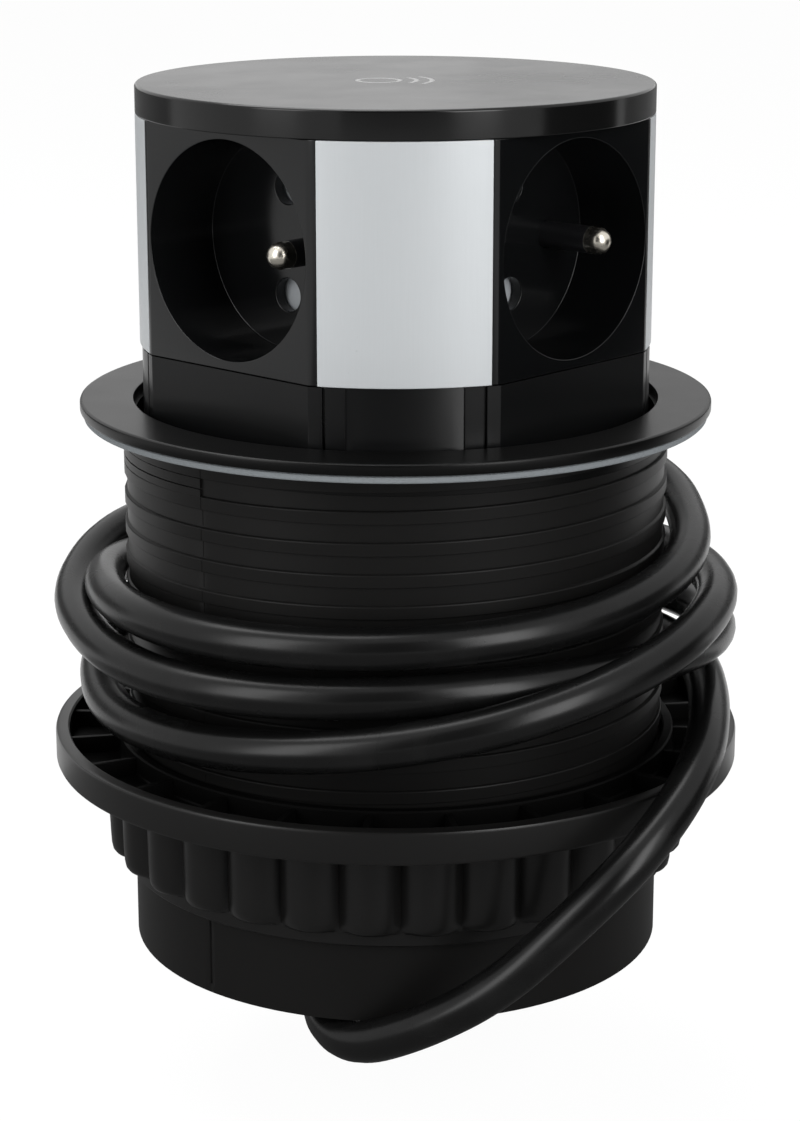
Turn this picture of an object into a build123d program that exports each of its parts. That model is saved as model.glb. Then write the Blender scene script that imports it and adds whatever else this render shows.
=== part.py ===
from build123d import *
import os
from dataclasses import dataclass
from math import acos, cos, pi, radians, sin, sqrt, tan

# A pop-up power tower for a worktop. Millimetres. The origin is the middle of the gasket's
# underside, where it lies on the worktop, and +Z is up. The tower is shown raised.

# Tower
TOWER_RADIUS = 47.0
TOWER_RISE = 60.8
LID_HEIGHT = 5.15
SOCKET_BAND = 41.75
FLAT_DEPTH = 4.2
BEVEL_DEPTH = 0.7
BEVEL_WIDTH = 1.45
COLLAR_DROP = 26.0
COLLAR_WALL = 2.6
DECK = 2.0
BASE_PLATE = 2.0
LID_SHELL = 1.8
LID_WALL = 2.6
LID_EDGE = 0.35

# Socket modules
SOCKETS = 4
RECESS_RADIUS = 19.2
RECESS_DEPTH = 15.0
RECESS_FLOOR = 2.0
PIN_SPACING = 19.0
CONTACT_HOLE = 3.0
EARTH_PIN_RADIUS = 2.4
EARTH_PIN_OFFSET = 10.0
EARTH_PIN_STAND = 14.0
EARTH_PIN_FOOT = 3.0
SHUTTER_SPACE = 3.0
SHUTTER_THICKNESS = 1.8
SHUTTER_WIDTH = 8.4
SHUTTER_TRAVEL = 6.6
SPRING_RADIUS = 1.3
SPRING_BORE = 0.75
SPRING_LENGTH = 14.0
CONTACT_OUTER = 3.35
CONTACT_BORE = 2.45
CONTACT_SETBACK = 1.3
COLUMN_HALF = 7.3
ARM_HIGH = 6.0
ARM_LOW = 3.0

# Charger under the lid and supply on the base plate
COIL_RADIUS = 22.0
COIL_BORE = 10.0
COIL_THICKNESS = 1.1
FERRITE_THICKNESS = 0.6
CHARGER_RADIUS = 30.0
BOARD_SIDE = 44.0
BOARD_THICKNESS = 1.6
BOARD_STAND = 5.0
CAPACITOR_RADIUS = 4.2
STAND_RADIUS = 2.2
STAND_INSET = 3.0

# Side panels
PANEL_THICKNESS = 1.5
POST_WALL = 2.0
PANEL_HOOK_HALF = 3.0
PANEL_NOSE = 1.2
SCREW_SHANK = 1.5
BOSS_RADIUS = 3.4
RELIEF_DEPTH = 0.4
RELIEF_ANGLE = 12.2
TONGUE_ANGLE = 17.1
TONGUE_GROOVE = 0.5

# Housing in the worktop
SLIDE_GAP = 1.0
SLEEVE_WALL = 2.0
SLEEVE_DROP = 100.6
FLANGE_WIDTH = 8.3
FLANGE_THICKNESS = 2.2
FLANGE_BORE_GAP = 1.4
FLANGE_EDGE = 0.4
GASKET_THICKNESS = 1.3
SKIRT = 0.75
SKIRT_DROP = 4.0
GUIDE_WIDTH = 10.0
GUIDE_TOP = -2.0
STOP_LUG_RISE = 4.0
LUG_HALF = 6.0
CAP_FLOOR_TOP = -88.2
CAP_FLOOR = 2.0
CAP_SKIRT = 8.0
CAP_RIB_START = 24.0
HOOK_TURNS = [30.0, 150.0, 270.0]
HOOK_WIDTH = 8.0
HOOK_BITE = 0.7
HOOK_TOP = -91.6
HOOK_HEIGHT = 3.0
OUTLET_RADIUS = 6.4
LEAD_ENTRY = (-4.0, 6.0)
RISER_RADIUS = 1.9
RISER_SPREAD = 0.46
INNER_LEAD_RADIUS = 3.0

# Clamp nut
NUT_BORE_GAP = 0.8
NUT_RIM_RADIUS = 64.6
NUT_RIM_WALL = 2.6
NUT_TOP = -59.2
NUT_RIM_HEIGHT = 6.3
NUT_FLOOR = 2.0
NUT_EDGE = 0.6
NUT_HUB_WALL = 1.4
NUT_LOBES = 30
NUT_LOBE_RADIUS = 5.0
NUT_LOBE_RISE = 3.2
NUT_LOBE_TAPER = 1.7
NUT_LOBE_ROUND = 3.0
NUT_GRIP_HEIGHT = 16.7
NUT_COLLAR_HEIGHT = 3.4
NUT_RIBS = 24
NUT_RIB_THICKNESS = 1.2
NUT_TURN = -7.0
NUT_HUB_STEP = 0.4
NUT_HUB_DROP = 0.8

# Mains cord
CORD_RADIUS = 3.8
CORD_SIDES = 12
BOOT_LENGTH = 18.0
PLUG_RELIEF = 20.0
PLUG_BODY = 36.0
PLUG_RADIUS = 18.4
PLUG_PIN_LENGTH = 19.0
PLUG_PIN_ROOT = 1.9

# Fits
CLEARANCE = 0.3
TIGHT = 0.1

# The free cord from the boot under the base to the right-hand side of the winding
LEAD = [
    (-9.6, -13.0, -98.8), (-12.8, -25.4, -101.2), (-14.8, -37.6, -105.2), (-9.4, -49.0, -107.4),
    (2.0, -57.6, -99.9), (14.8, -63.4, -89.4), (27.4, -64.8, -76.9), (40.9, -60.4, -64.9),
    (51.8, -46.4, -55.5), (56.8, -27.0, -50.6),
]
# The winding round the sleeve: degrees from the front over the right, radius and height
WINDING = [
    (90, 57.0, -49.0), (150, 54.9, -50.4), (225, 54.9, -51.2), (274, 55.1, -52.5), (316, 55.7, -50.8),
    (350, 58.0, -47.2), (376, 62.0, -41.8), (400, 63.7, -35.8), (424, 62.2, -31.3), (450, 58.6, -31.2),
    (500, 58.0, -33.4), (545, 59.2, -31.6), (584, 62.5, -29.3), (604, 63.1, -31.2), (617, 62.7, -35.2),
    (640, 58.8, -39.0), (685, 56.3, -39.6), (722, 55.0, -38.0), (754, 54.9, -38.0), (780, 57.4, -39.2),
    (803, 60.8, -40.8), (826, 61.4, -42.9), (870, 59.6, -43.2), (915, 56.4, -40.4), (960, 54.9, -34.0),
    (992, 54.9, -31.1), (1040, 54.9, -31.2), (1080, 54.9, -29.8), (1125, 55.4, -26.8), (1180, 54.9, -19.8),
]
# The free end at the back, down to the plug that hangs there
TAIL = [
    (51.9, 22.0, -17.8), (45.5, 37.5, -16.9), (34.5, 51.0, -17.4), (21.5, 62.5, -19.4),
    (9.0, 72.5, -24.6), (0.0, 80.0, -33.4), (-4.2, 84.4, -44.0), (-5.4, 86.0, -56.0),
]

# Derived places
MODULE_TOP = TOWER_RISE - LID_HEIGHT
MODULE_BOTTOM = MODULE_TOP - SOCKET_BAND
SOCKET_HEIGHT = (MODULE_TOP + MODULE_BOTTOM) / 2
FLAT = TOWER_RADIUS - FLAT_DEPTH
BEVEL_FRONT = FLAT - BEVEL_DEPTH
MODULE_HALF = sqrt(TOWER_RADIUS**2 - BEVEL_FRONT**2)
FACE_HALF = MODULE_HALF - BEVEL_WIDTH
RECESS_BACK = FLAT - RECESS_DEPTH
FLOOR_BACK = RECESS_BACK - RECESS_FLOOR
CUP_BACK = FLOOR_BACK - SHUTTER_SPACE
CONTACT_BACK = COLUMN_HALF + CLEARANCE + 1.9
SHUTTER_HIGH = PIN_SPACING / 2 + CONTACT_HOLE + TIGHT
SHUTTER_LOW = -SHUTTER_HIGH
SPRING_TOP = SOCKET_HEIGHT + ARM_LOW - TIGHT
SPRING_FOOT = SPRING_TOP - SPRING_LENGTH
POST_OUTER = TOWER_RADIUS - PANEL_THICKNESS - TIGHT
HOOK_HEIGHTS = [MODULE_BOTTOM + SOCKET_BAND * share for share in (0.25, 0.75)]
SCREW_RADIUS = (MODULE_HALF * sqrt(2) + POST_OUTER) / 2 - 0.8
SLEEVE_BORE = TOWER_RADIUS + SLIDE_GAP
SLEEVE_RADIUS = SLEEVE_BORE + SLEEVE_WALL
FLANGE_RADIUS = SLEEVE_RADIUS + FLANGE_WIDTH
FLANGE_BORE = TOWER_RADIUS + FLANGE_BORE_GAP
FLANGE_TOP = GASKET_THICKNESS + FLANGE_THICKNESS
PLATE_TOP = -COLLAR_DROP
PLATE_BOTTOM = PLATE_TOP - BASE_PLATE
BOARD_BOTTOM = PLATE_TOP + BOARD_STAND
LUG_TOP = PLATE_BOTTOM + STOP_LUG_RISE
GUIDE_BOTTOM = LUG_TOP + CLEARANCE
TRAVEL = TOWER_RISE - FLANGE_TOP
NUT_BORE = SLEEVE_RADIUS + NUT_BORE_GAP
NUT_HUB = NUT_BORE + NUT_HUB_WALL
NUT_RIM_BOTTOM = NUT_TOP - NUT_RIM_HEIGHT
NUT_GRIP_BOTTOM = NUT_RIM_BOTTOM - NUT_GRIP_HEIGHT
SOCKET_TURNS = [-45.0 + 360.0 / SOCKETS * k for k in range(SOCKETS)]
PANEL_TURNS = [360.0 / SOCKETS * k for k in range(SOCKETS)]


def facing(turn):
    """Location of a socket's own frame, whose face looks along -Y before the turn over the right."""
    return Rot(0, 0, turn)


def slab(x0, x1, y0, y1, z0, z1):
    """Box between two corners."""
    size = (x1 - x0, y1 - y0, z1 - z0)
    return Pos((x0 + x1) / 2, (y0 + y1) / 2, (z0 + z1) / 2) * Box(*size)


def tube(outer, inner, z0, z1):
    """Upright ring."""
    ring = Pos(0, 0, (z0 + z1) / 2) * Cylinder(outer, z1 - z0)
    return ring - Pos(0, 0, (z0 + z1) / 2) * Cylinder(inner, z1 - z0 + 2)


def bar(x, z, radius, front, back):
    """Round bar along a socket's own axis, between two distances from the tower's middle."""
    return Pos(x, -(front + back) / 2, z) * Rot(90, 0, 0) * Cylinder(radius, front - back)


def turned(points):
    """Solid of revolution about Z from an outline of radius and height."""
    outline = make_face(Polyline(*[(r, 0, z) for r, z in points], close=True))
    return revolve(outline, Axis.Z)


def tower_outline(inset=0.0):
    """The tower's plan: a round with four flats, each with a narrow bevel at its two ends."""
    plan = Circle(TOWER_RADIUS - inset)
    reach = TOWER_RADIUS / 2
    for turn in SOCKET_TURNS:
        flat = [
            (-FACE_HALF, -FLAT + inset), (FACE_HALF, -FLAT + inset),
            (MODULE_HALF, -BEVEL_FRONT + inset), (MODULE_HALF + reach, -BEVEL_FRONT - reach),
            (-MODULE_HALF - reach, -BEVEL_FRONT - reach), (-MODULE_HALF, -BEVEL_FRONT + inset),
        ]
        plan -= Rot(0, 0, turn) * make_face(Polyline(*flat, close=True))
    return plan


def module_outline(front, back):
    """Plan of one socket module between two distances from the tower's middle."""
    wedge = COLUMN_HALF + CLEARANCE
    elbow = MODULE_HALF + CLEARANCE
    plan = [
        (-FACE_HALF, -FLAT), (FACE_HALF, -FLAT), (MODULE_HALF, -BEVEL_FRONT), (MODULE_HALF, -elbow),
        (COLUMN_HALF, -wedge), (-COLUMN_HALF, -wedge), (-MODULE_HALF, -elbow), (-MODULE_HALF, -BEVEL_FRONT),
    ]
    whole = make_face(Polyline(*plan, close=True))
    window = Pos(0, -(front + back) / 2) * Rectangle(4 * MODULE_HALF, front - back)
    return whole & window


def socket_cup():
    """Front moulding: the round recess, its floor with three holes and the shutter's space behind it."""
    height = SOCKET_BAND - TIGHT
    cup = Pos(0, 0, MODULE_BOTTOM + TIGHT / 2) * extrude(module_outline(FLAT + 1, CUP_BACK), height)
    cup -= bar(0, SOCKET_HEIGHT, RECESS_RADIUS, FLAT + 5, RECESS_BACK)
    for side in (-1, 1):
        cup -= bar(0, SOCKET_HEIGHT + side * PIN_SPACING / 2, CONTACT_HOLE, FLAT, CUP_BACK - 1)
    cup -= bar(EARTH_PIN_OFFSET, SOCKET_HEIGHT, EARTH_PIN_RADIUS + TIGHT / 2, FLAT, CUP_BACK - 1)
    low = SOCKET_HEIGHT + SHUTTER_LOW - SHUTTER_TRAVEL - CLEARANCE
    high = SOCKET_HEIGHT + SHUTTER_HIGH + TIGHT
    side = SHUTTER_WIDTH / 2 + CLEARANCE / 2
    cup -= slab(-side, side, -FLOOR_BACK, -CUP_BACK + 1, low, high)
    arm = SHUTTER_WIDTH / 2 + 2 * SPRING_RADIUS + 2 * CLEARANCE
    arm_top = SOCKET_HEIGHT + ARM_HIGH + TIGHT
    cup -= slab(-arm, -side + 1, -FLOOR_BACK, -CUP_BACK + 1, SPRING_FOOT, arm_top)
    return cup


def shutter():
    """Sliding blind behind the floor: it covers both contact holes, and its window clears one of them."""
    front = FLOOR_BACK - (SHUTTER_SPACE - SHUTTER_THICKNESS) / 2
    back = front - SHUTTER_THICKNESS
    half = SHUTTER_WIDTH / 2
    low, high = SOCKET_HEIGHT + SHUTTER_LOW, SOCKET_HEIGHT + SHUTTER_HIGH
    plate = slab(-half, half, -front, -back, low, high)
    window = SOCKET_HEIGHT - PIN_SPACING / 2 + SHUTTER_TRAVEL
    plate -= bar(0, window, CONTACT_HOLE + TIGHT, front + 1, back - 1)
    arm = half + 2 * SPRING_RADIUS + CLEARANCE
    plate += slab(-arm, -half + 1, -front, -back, SOCKET_HEIGHT + ARM_LOW, SOCKET_HEIGHT + ARM_HIGH)
    ramp = make_face(Polyline((0, -front, high), (0, -back, high), (0, -front, high - 1.2), close=True))
    return plate - extrude(ramp, half + 1, dir=(1, 0, 0), both=True)


def shutter_spring():
    """Return spring that stands beside the blind, under its arm."""
    middle = FLOOR_BACK - SHUTTER_SPACE / 2
    x = -SHUTTER_WIDTH / 2 - SPRING_RADIUS - CLEARANCE
    return Pos(x, -middle, 0) * tube(SPRING_RADIUS, SPRING_BORE, SPRING_FOOT + TIGHT, SPRING_TOP)


def earth_pin():
    """Pin that stands from the floor into the recess, with a rounded tip and a collar behind the floor."""
    tip = RECESS_BACK + EARTH_PIN_STAND
    root = CUP_BACK - EARTH_PIN_FOOT
    shank = bar(EARTH_PIN_OFFSET, SOCKET_HEIGHT, EARTH_PIN_RADIUS, tip - EARTH_PIN_RADIUS, root)
    dome = Pos(EARTH_PIN_OFFSET, -(tip - EARTH_PIN_RADIUS), SOCKET_HEIGHT) * Sphere(EARTH_PIN_RADIUS)
    return shank + dome


def contact_carrier():
    """Rear block of a module, which holds the two contact sleeves and the foot of the earth pin."""
    height = SOCKET_BAND - TIGHT
    block = Pos(0, 0, MODULE_BOTTOM + TIGHT / 2) * extrude(module_outline(CUP_BACK - TIGHT, 0), height)
    for side in (-1, 1):
        z = SOCKET_HEIGHT + side * PIN_SPACING / 2
        block -= bar(0, z, CONTACT_OUTER + TIGHT, CUP_BACK + 1, CONTACT_BACK - TIGHT)
        block -= slab(-1.4, 1.4, -CONTACT_BACK - 1, 0, z - 0.7, z + 0.7)
    foot = CUP_BACK - EARTH_PIN_FOOT - TIGHT
    return block - bar(EARTH_PIN_OFFSET, SOCKET_HEIGHT, EARTH_PIN_RADIUS + TIGHT, CUP_BACK + 1, foot)


def contact_set():
    """Two split contact sleeves, each with a tag that reaches the column where the wires rise."""
    front = CUP_BACK - CONTACT_SETBACK
    pair = []
    for side in (-1, 1):
        z = SOCKET_HEIGHT + side * PIN_SPACING / 2
        sleeve = bar(0, z, CONTACT_OUTER, front, CONTACT_BACK)
        sleeve -= bar(0, z, CONTACT_BORE, front + 1, CONTACT_BACK + 1)
        split = CONTACT_OUTER + 1
        sleeve -= slab(-0.5, 0.5, -front - 1, -CONTACT_BACK - 3, z - split, z + split)
        tag = slab(-1.2, 1.2, -CONTACT_BACK - 0.5, -COLUMN_HALF, z - 0.5, z + 0.5)
        pair.append(sleeve + tag)
    return Compound(children=pair)


def side_panels():
    """Four curved metal-look covers between the sockets, each with two hooks at its back."""
    ring = tube(TOWER_RADIUS, TOWER_RADIUS - PANEL_THICKNESS, MODULE_BOTTOM, MODULE_TOP - TIGHT)
    edge = MODULE_HALF + TIGHT
    reach = 2 * TOWER_RADIUS
    for turn in (45, 135):
        ring -= Rot(0, 0, turn) * slab(-edge, edge, -reach, reach, MODULE_BOTTOM - 1, MODULE_TOP + 1)
    panels = {}
    hook_root = TOWER_RADIUS - PANEL_THICKNESS + 0.4
    for number, turn in enumerate(PANEL_TURNS, 1):
        panel = min(ring.solids(), key=lambda s: (s.center() - panel_direction(turn)).length)
        for z in HOOK_HEIGHTS:
            nose_in = POST_OUTER - POST_WALL - CLEARANCE
            arm = slab(-PANEL_HOOK_HALF, PANEL_HOOK_HALF, -hook_root, -nose_in, z - 1, z + 1)
            nose = slab(-PANEL_HOOK_HALF, PANEL_HOOK_HALF, -nose_in, -nose_in + PANEL_NOSE, z - 1, z + 1.8)
            panel = panel + Rot(0, 0, turn) * (arm + nose)
        panels[f"side_panel_{number}"] = panel
    return panels


def panel_direction(turn):
    """Middle of a panel that faces a given turn."""
    return Vector(TOWER_RADIUS * sin(radians(turn)), -TOWER_RADIUS * cos(radians(turn)), SOCKET_HEIGHT)


def tower_body():
    """Collar with its deck, and the four hollow posts that rise from it between the sockets."""
    outline = tower_outline()
    collar = Pos(0, 0, PLATE_TOP) * extrude(outline, COLLAR_DROP + MODULE_BOTTOM - TIGHT)
    cavity_top = MODULE_BOTTOM - TIGHT - DECK
    collar -= Pos(0, 0, PLATE_TOP) * extrude(tower_outline(COLLAR_WALL), cavity_top - PLATE_TOP)
    deck = MODULE_BOTTOM - TIGHT - DECK / 2
    collar -= Pos(0, 0, deck) * Rot(0, 0, 45) * Box(2 * COLUMN_HALF, 2 * COLUMN_HALF, DECK + 2)
    for turn in PANEL_TURNS:
        collar -= Rot(0, 0, turn) * collar_relief()
        collar += Rot(0, 0, turn) * corner_post()
        screw = Rot(0, 0, turn) * Pos(0, -SCREW_RADIUS, 0)
        boss = screw * Pos(0, 0, (PLATE_TOP + cavity_top) / 2) * Cylinder(BOSS_RADIUS, cavity_top - PLATE_TOP)
        web_reach = TOWER_RADIUS - COLLAR_WALL + 0.5
        web = slab(-1, 1, -web_reach, -SCREW_RADIUS, PLATE_TOP, cavity_top)
        collar = collar + boss + Rot(0, 0, turn) * web
    for turn in PANEL_TURNS:
        hole = Rot(0, 0, turn) * Pos(0, -SCREW_RADIUS, SOCKET_HEIGHT / 2)
        collar -= hole * Cylinder(SCREW_SHANK + TIGHT, 4 * TOWER_RISE)
    return collar


def collar_relief():
    """What is cut from the collar under one panel: a shallow field, and a groove beside each snap tongue."""
    z0, z1 = PLATE_TOP - 1, MODULE_BOTTOM + 1
    inner = TOWER_RADIUS - RELIEF_DEPTH
    reach = TOWER_RADIUS * tan(radians(RELIEF_ANGLE))
    field = tube(TOWER_RADIUS + 1, inner, z0, z1) & slab(-reach, reach, -TOWER_RADIUS - 2, 0, z0, z1)
    cut = field
    for side in (-1, 1):
        place = Rot(0, 0, side * TONGUE_ANGLE)
        groove = TOWER_RADIUS - 2 * RELIEF_DEPTH
        cut += place * slab(-TONGUE_GROOVE / 2, TONGUE_GROOVE / 2, -TOWER_RADIUS - 1, -groove, z0, z1)
    return cut


def corner_post():
    """Hollow post in the corner between two sockets, rounded to back a side panel."""
    z0, z1 = MODULE_BOTTOM - 1, MODULE_TOP - TIGHT
    half = MODULE_HALF + CLEARANCE
    corner = Rot(0, 0, 45) * slab(-2 * TOWER_RADIUS, -half, -2 * TOWER_RADIUS, -half, z0, z1)
    post = corner & (Pos(0, 0, (z0 + z1) / 2) * Cylinder(POST_OUTER, z1 - z0))
    inner_half = half + POST_WALL
    reach = 2 * TOWER_RADIUS
    hollow = Rot(0, 0, 45) * slab(-reach, -inner_half, -reach, -inner_half, z0 + 3, z1 + 1)
    hollow &= Pos(0, 0, (z0 + z1) / 2) * Cylinder(POST_OUTER - POST_WALL, z1 - z0 + 4)
    post -= hollow
    post += Pos(0, -SCREW_RADIUS, (z0 + z1 - 3) / 2) * Cylinder(BOSS_RADIUS, z1 - z0 - 3)
    side = PANEL_HOOK_HALF + CLEARANCE
    back = -POST_OUTER + POST_WALL + PANEL_NOSE
    for z in HOOK_HEIGHTS:
        post -= slab(-side, side, -TOWER_RADIUS, back, z - 1 - TIGHT, z + 1.8 + TIGHT)
    return post


def base_plate():
    """Plate under the collar, with four lugs that stop the tower under the sleeve's guide ribs."""
    plate = Pos(0, 0, PLATE_BOTTOM) * extrude(tower_outline(TIGHT), BASE_PLATE - TIGHT)
    reach = SLEEVE_BORE - 0.4
    for turn in SOCKET_TURNS:
        lug = slab(-LUG_HALF, LUG_HALF, -reach, -FLAT - TIGHT, PLATE_BOTTOM, LUG_TOP)
        lug += slab(-LUG_HALF, LUG_HALF, -FLAT - 1, -FLAT + 4, PLATE_BOTTOM, PLATE_TOP - TIGHT)
        lug &= Pos(0, 0, PLATE_TOP) * Cylinder(reach, 4 * BASE_PLATE)
        plate += Rot(0, 0, turn) * lug
    for turn in PANEL_TURNS:
        place = Rot(0, 0, turn) * Pos(0, -SCREW_RADIUS, 0)
        plate -= place * Pos(0, 0, PLATE_TOP) * Cylinder(SCREW_SHANK + TIGHT, 4 * BASE_PLATE)
    x, y = LEAD_ENTRY
    for side in (-1, 1):
        plate -= Pos(x + side * 9, y, PLATE_TOP) * Cylinder(1.3, 2.4)
    return plate - Pos(x, y, PLATE_TOP) * Cylinder(INNER_LEAD_RADIUS + CLEARANCE, 4 * BASE_PLATE)


def tie_screws():
    """Four long screws from under the base plate, up the posts, into the lid."""
    screws = []
    top = MODULE_TOP + LID_HEIGHT - LID_SHELL - 0.6
    for turn in PANEL_TURNS:
        place = Rot(0, 0, turn) * Pos(0, -SCREW_RADIUS, 0)
        shank = place * Pos(0, 0, (PLATE_BOTTOM + top) / 2) * Cylinder(SCREW_SHANK, top - PLATE_BOTTOM)
        head = place * Pos(0, 0, PLATE_BOTTOM - 0.9) * Cylinder(2.8, 1.8)
        screws.append(shank + head)
    return Compound(children=screws)


def top_lid():
    """Round lid with a shallow space under it for the charging coil."""
    top = TOWER_RISE
    wall = TOWER_RADIUS - LID_WALL
    shell = turned([
        (0, top - LID_SHELL), (wall, top - LID_SHELL), (wall, MODULE_TOP), (TOWER_RADIUS, MODULE_TOP),
        (TOWER_RADIUS, top - LID_EDGE), (TOWER_RADIUS - LID_EDGE, top), (0, top),
    ])
    for turn in PANEL_TURNS:
        place = Rot(0, 0, turn) * Pos(0, -SCREW_RADIUS, 0)
        height = LID_HEIGHT - LID_SHELL + 0.2
        boss = Cylinder(BOSS_RADIUS, height) - Pos(0, 0, -0.6) * Cylinder(SCREW_SHANK + TIGHT / 2, height)
        shell += place * Pos(0, 0, MODULE_TOP + height / 2) * boss
    return shell


def charger():
    """Coil, ferrite sheet and driver board that lie one under the other below the lid."""
    under = TOWER_RISE - LID_SHELL
    coil_top = under - TIGHT
    coil = tube(COIL_RADIUS, COIL_BORE, coil_top - COIL_THICKNESS, coil_top)
    sheet_top = coil_top - COIL_THICKNESS - TIGHT / 2
    sheet = Pos(0, 0, sheet_top - FERRITE_THICKNESS / 2) * Cylinder(COIL_RADIUS + 1, FERRITE_THICKNESS)
    board_top = sheet_top - FERRITE_THICKNESS - TIGHT / 2
    board = Pos(0, 0, board_top - 0.4) * Cylinder(CHARGER_RADIUS, 0.8)
    for x, y, w, h in ((14, 10, 8, 5), (-15, 8, 6, 6), (4, -19, 9, 4)):
        board += slab(x - w / 2, x + w / 2, y - h / 2, y + h / 2, MODULE_TOP + 0.1, board_top - 0.7)
    return {"charging_coil": coil, "ferrite_sheet": sheet, "charger_board": board}


def power_supply():
    """Circuit board with its transformer, capacitors and heat sink, on the base plate."""
    low, top = BOARD_BOTTOM, BOARD_BOTTOM + BOARD_THICKNESS
    half = BOARD_SIDE / 2
    supply = slab(-half, half, -half, half, low, top)
    for x, y, width, depth, height in ((-10, 9, 17, 15, 14), (12, 12, 3, 14, 12), (8, -12, 11, 8, 7)):
        supply += slab(x - width / 2, x + width / 2, y - depth / 2, y + depth / 2, low + 1, top + height)
    for x in (-14, -3):
        supply += Pos(x, -13, low + 8) * Cylinder(CAPACITOR_RADIUS, 14)
    corner = half - STAND_INSET
    for x, y in ((-corner, -corner), (corner, corner), (-corner, corner), (corner, -corner)):
        supply += Pos(x, y, (PLATE_TOP + low) / 2) * Cylinder(STAND_RADIUS, low - PLATE_TOP + 0.2)
    return Rot(0, 0, 45) * supply


def distribution_block():
    """Terminal strip under the deck, where the lead is split to the four sockets."""
    top = MODULE_BOTTOM - TIGHT - DECK - TIGHT
    strip = slab(-15, 15, -22, -12, top - 9, top)
    tongue = riser_spread() / 2 + RISER_RADIUS + TIGHT
    strip += slab(-5, 5, -12.5, -tongue, top - 6, top)
    for k in range(3):
        strip -= Pos(-9 + 9 * k, -17, top - 9) * Cylinder(2.0, 6)
    return strip


def riser_spread():
    """How far each rising wire stands from the middle of the column."""
    return (COLUMN_HALF - RISER_RADIUS) * RISER_SPREAD


def riser_wires():
    """Three insulated wires that climb the middle column past the contact tags, in a clip on the strip."""
    wires = []
    foot = MODULE_BOTTOM - DECK - 1.5
    top = SOCKET_HEIGHT + PIN_SPACING / 2 + 6
    spread = riser_spread()
    for angle in (90, 210, 330):
        x, y = spread * cos(radians(angle)), spread * sin(radians(angle))
        wires.append(Pos(x, y, (foot + top) / 2) * Cylinder(RISER_RADIUS, top - foot))
    return Compound(children=wires)


def trim_ring():
    """Flange that lies on the worktop over the gasket, with a skirt pressed over the sleeve's top."""
    skirt_in = SLEEVE_RADIUS - SKIRT
    under = GASKET_THICKNESS
    return turned([
        (FLANGE_BORE, under), (skirt_in, under), (skirt_in, -SKIRT_DROP), (SLEEVE_RADIUS, -SKIRT_DROP),
        (SLEEVE_RADIUS, under), (FLANGE_RADIUS - FLANGE_EDGE, under), (FLANGE_RADIUS, under + FLANGE_EDGE),
        (FLANGE_RADIUS, FLANGE_TOP - FLANGE_EDGE), (FLANGE_RADIUS - FLANGE_EDGE, FLANGE_TOP),
        (FLANGE_BORE, FLANGE_TOP),
    ])


def gasket():
    """Flat light ring between the flange and the worktop."""
    return tube(FLANGE_RADIUS - 0.7, SLEEVE_RADIUS + 0.8, 0, GASKET_THICKNESS)


def sleeve():
    """Long sleeve in the worktop, with guide ribs on the tower's flats and pockets for the cap's hooks."""
    gap = TIGHT / 2
    skirt_in = SLEEVE_RADIUS - SKIRT - gap
    step, rim = -SKIRT_DROP - gap, GASKET_THICKNESS - gap
    wall = turned([
        (SLEEVE_BORE, -SLEEVE_DROP), (SLEEVE_RADIUS, -SLEEVE_DROP), (SLEEVE_RADIUS, step), (skirt_in, step),
        (skirt_in, rim), (SLEEVE_BORE, rim),
    ])
    inner = FLAT + 0.5
    for turn in SOCKET_TURNS:
        rib = slab(-GUIDE_WIDTH / 2, GUIDE_WIDTH / 2, -SLEEVE_BORE - 0.5, -inner, GUIDE_BOTTOM, GUIDE_TOP)
        wall += Rot(0, 0, turn) * rib
    side = HOOK_WIDTH / 2 + CLEARANCE
    deep = -SLEEVE_BORE - HOOK_BITE - TIGHT
    low = HOOK_TOP - HOOK_HEIGHT - TIGHT
    for turn in HOOK_TURNS:
        pocket = slab(-side, side, deep, -SLEEVE_BORE + 2, low - CLEARANCE, HOOK_TOP + CLEARANCE)
        wall -= Rot(0, 0, turn) * pocket
    return wall


def bottom_cap():
    """Cap clicked into the sleeve's foot: a floor, a skirt with three hooks and the hole for the cord."""
    outer = SLEEVE_BORE - TIGHT
    low = CAP_FLOOR_TOP - CAP_FLOOR
    cap = turned([
        (0, low), (outer - 1.8, low), (outer - 1.8, low - CAP_SKIRT), (outer, low - CAP_SKIRT),
        (outer, CAP_FLOOR_TOP), (0, CAP_FLOOR_TOP),
    ])
    for turn in HOOK_TURNS:
        root = -outer + 0.5
        foot = HOOK_TOP - HOOK_HEIGHT
        profile = [
            (0, root, HOOK_TOP), (0, -SLEEVE_BORE - HOOK_BITE, HOOK_TOP), (0, -outer, foot), (0, root, foot),
        ]
        hook = extrude(make_face(Polyline(*profile, close=True)), HOOK_WIDTH / 2, dir=(1, 0, 0), both=True)
        cap += Rot(0, 0, turn) * hook
    for k in range(6):
        rib = slab(-0.8, 0.8, -outer + 1, -CAP_RIB_START, low - 3, low + 0.5)
        cap += Rot(0, 0, 60 * k) * rib
    x, y, _ = outlet()
    cap -= Pos(x, y, low) * Cylinder(CORD_RADIUS + 0.4, 4 * CAP_FLOOR)
    return cap


def lead_direction():
    """Way in which the cord leaves the boot."""
    return (Vector(*LEAD[1]) - Vector(*LEAD[0])).normalized()


def outlet():
    """Middle of the boot's root, one boot length behind the free cord."""
    return Vector(*LEAD[0]) - lead_direction() * BOOT_LENGTH


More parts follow.
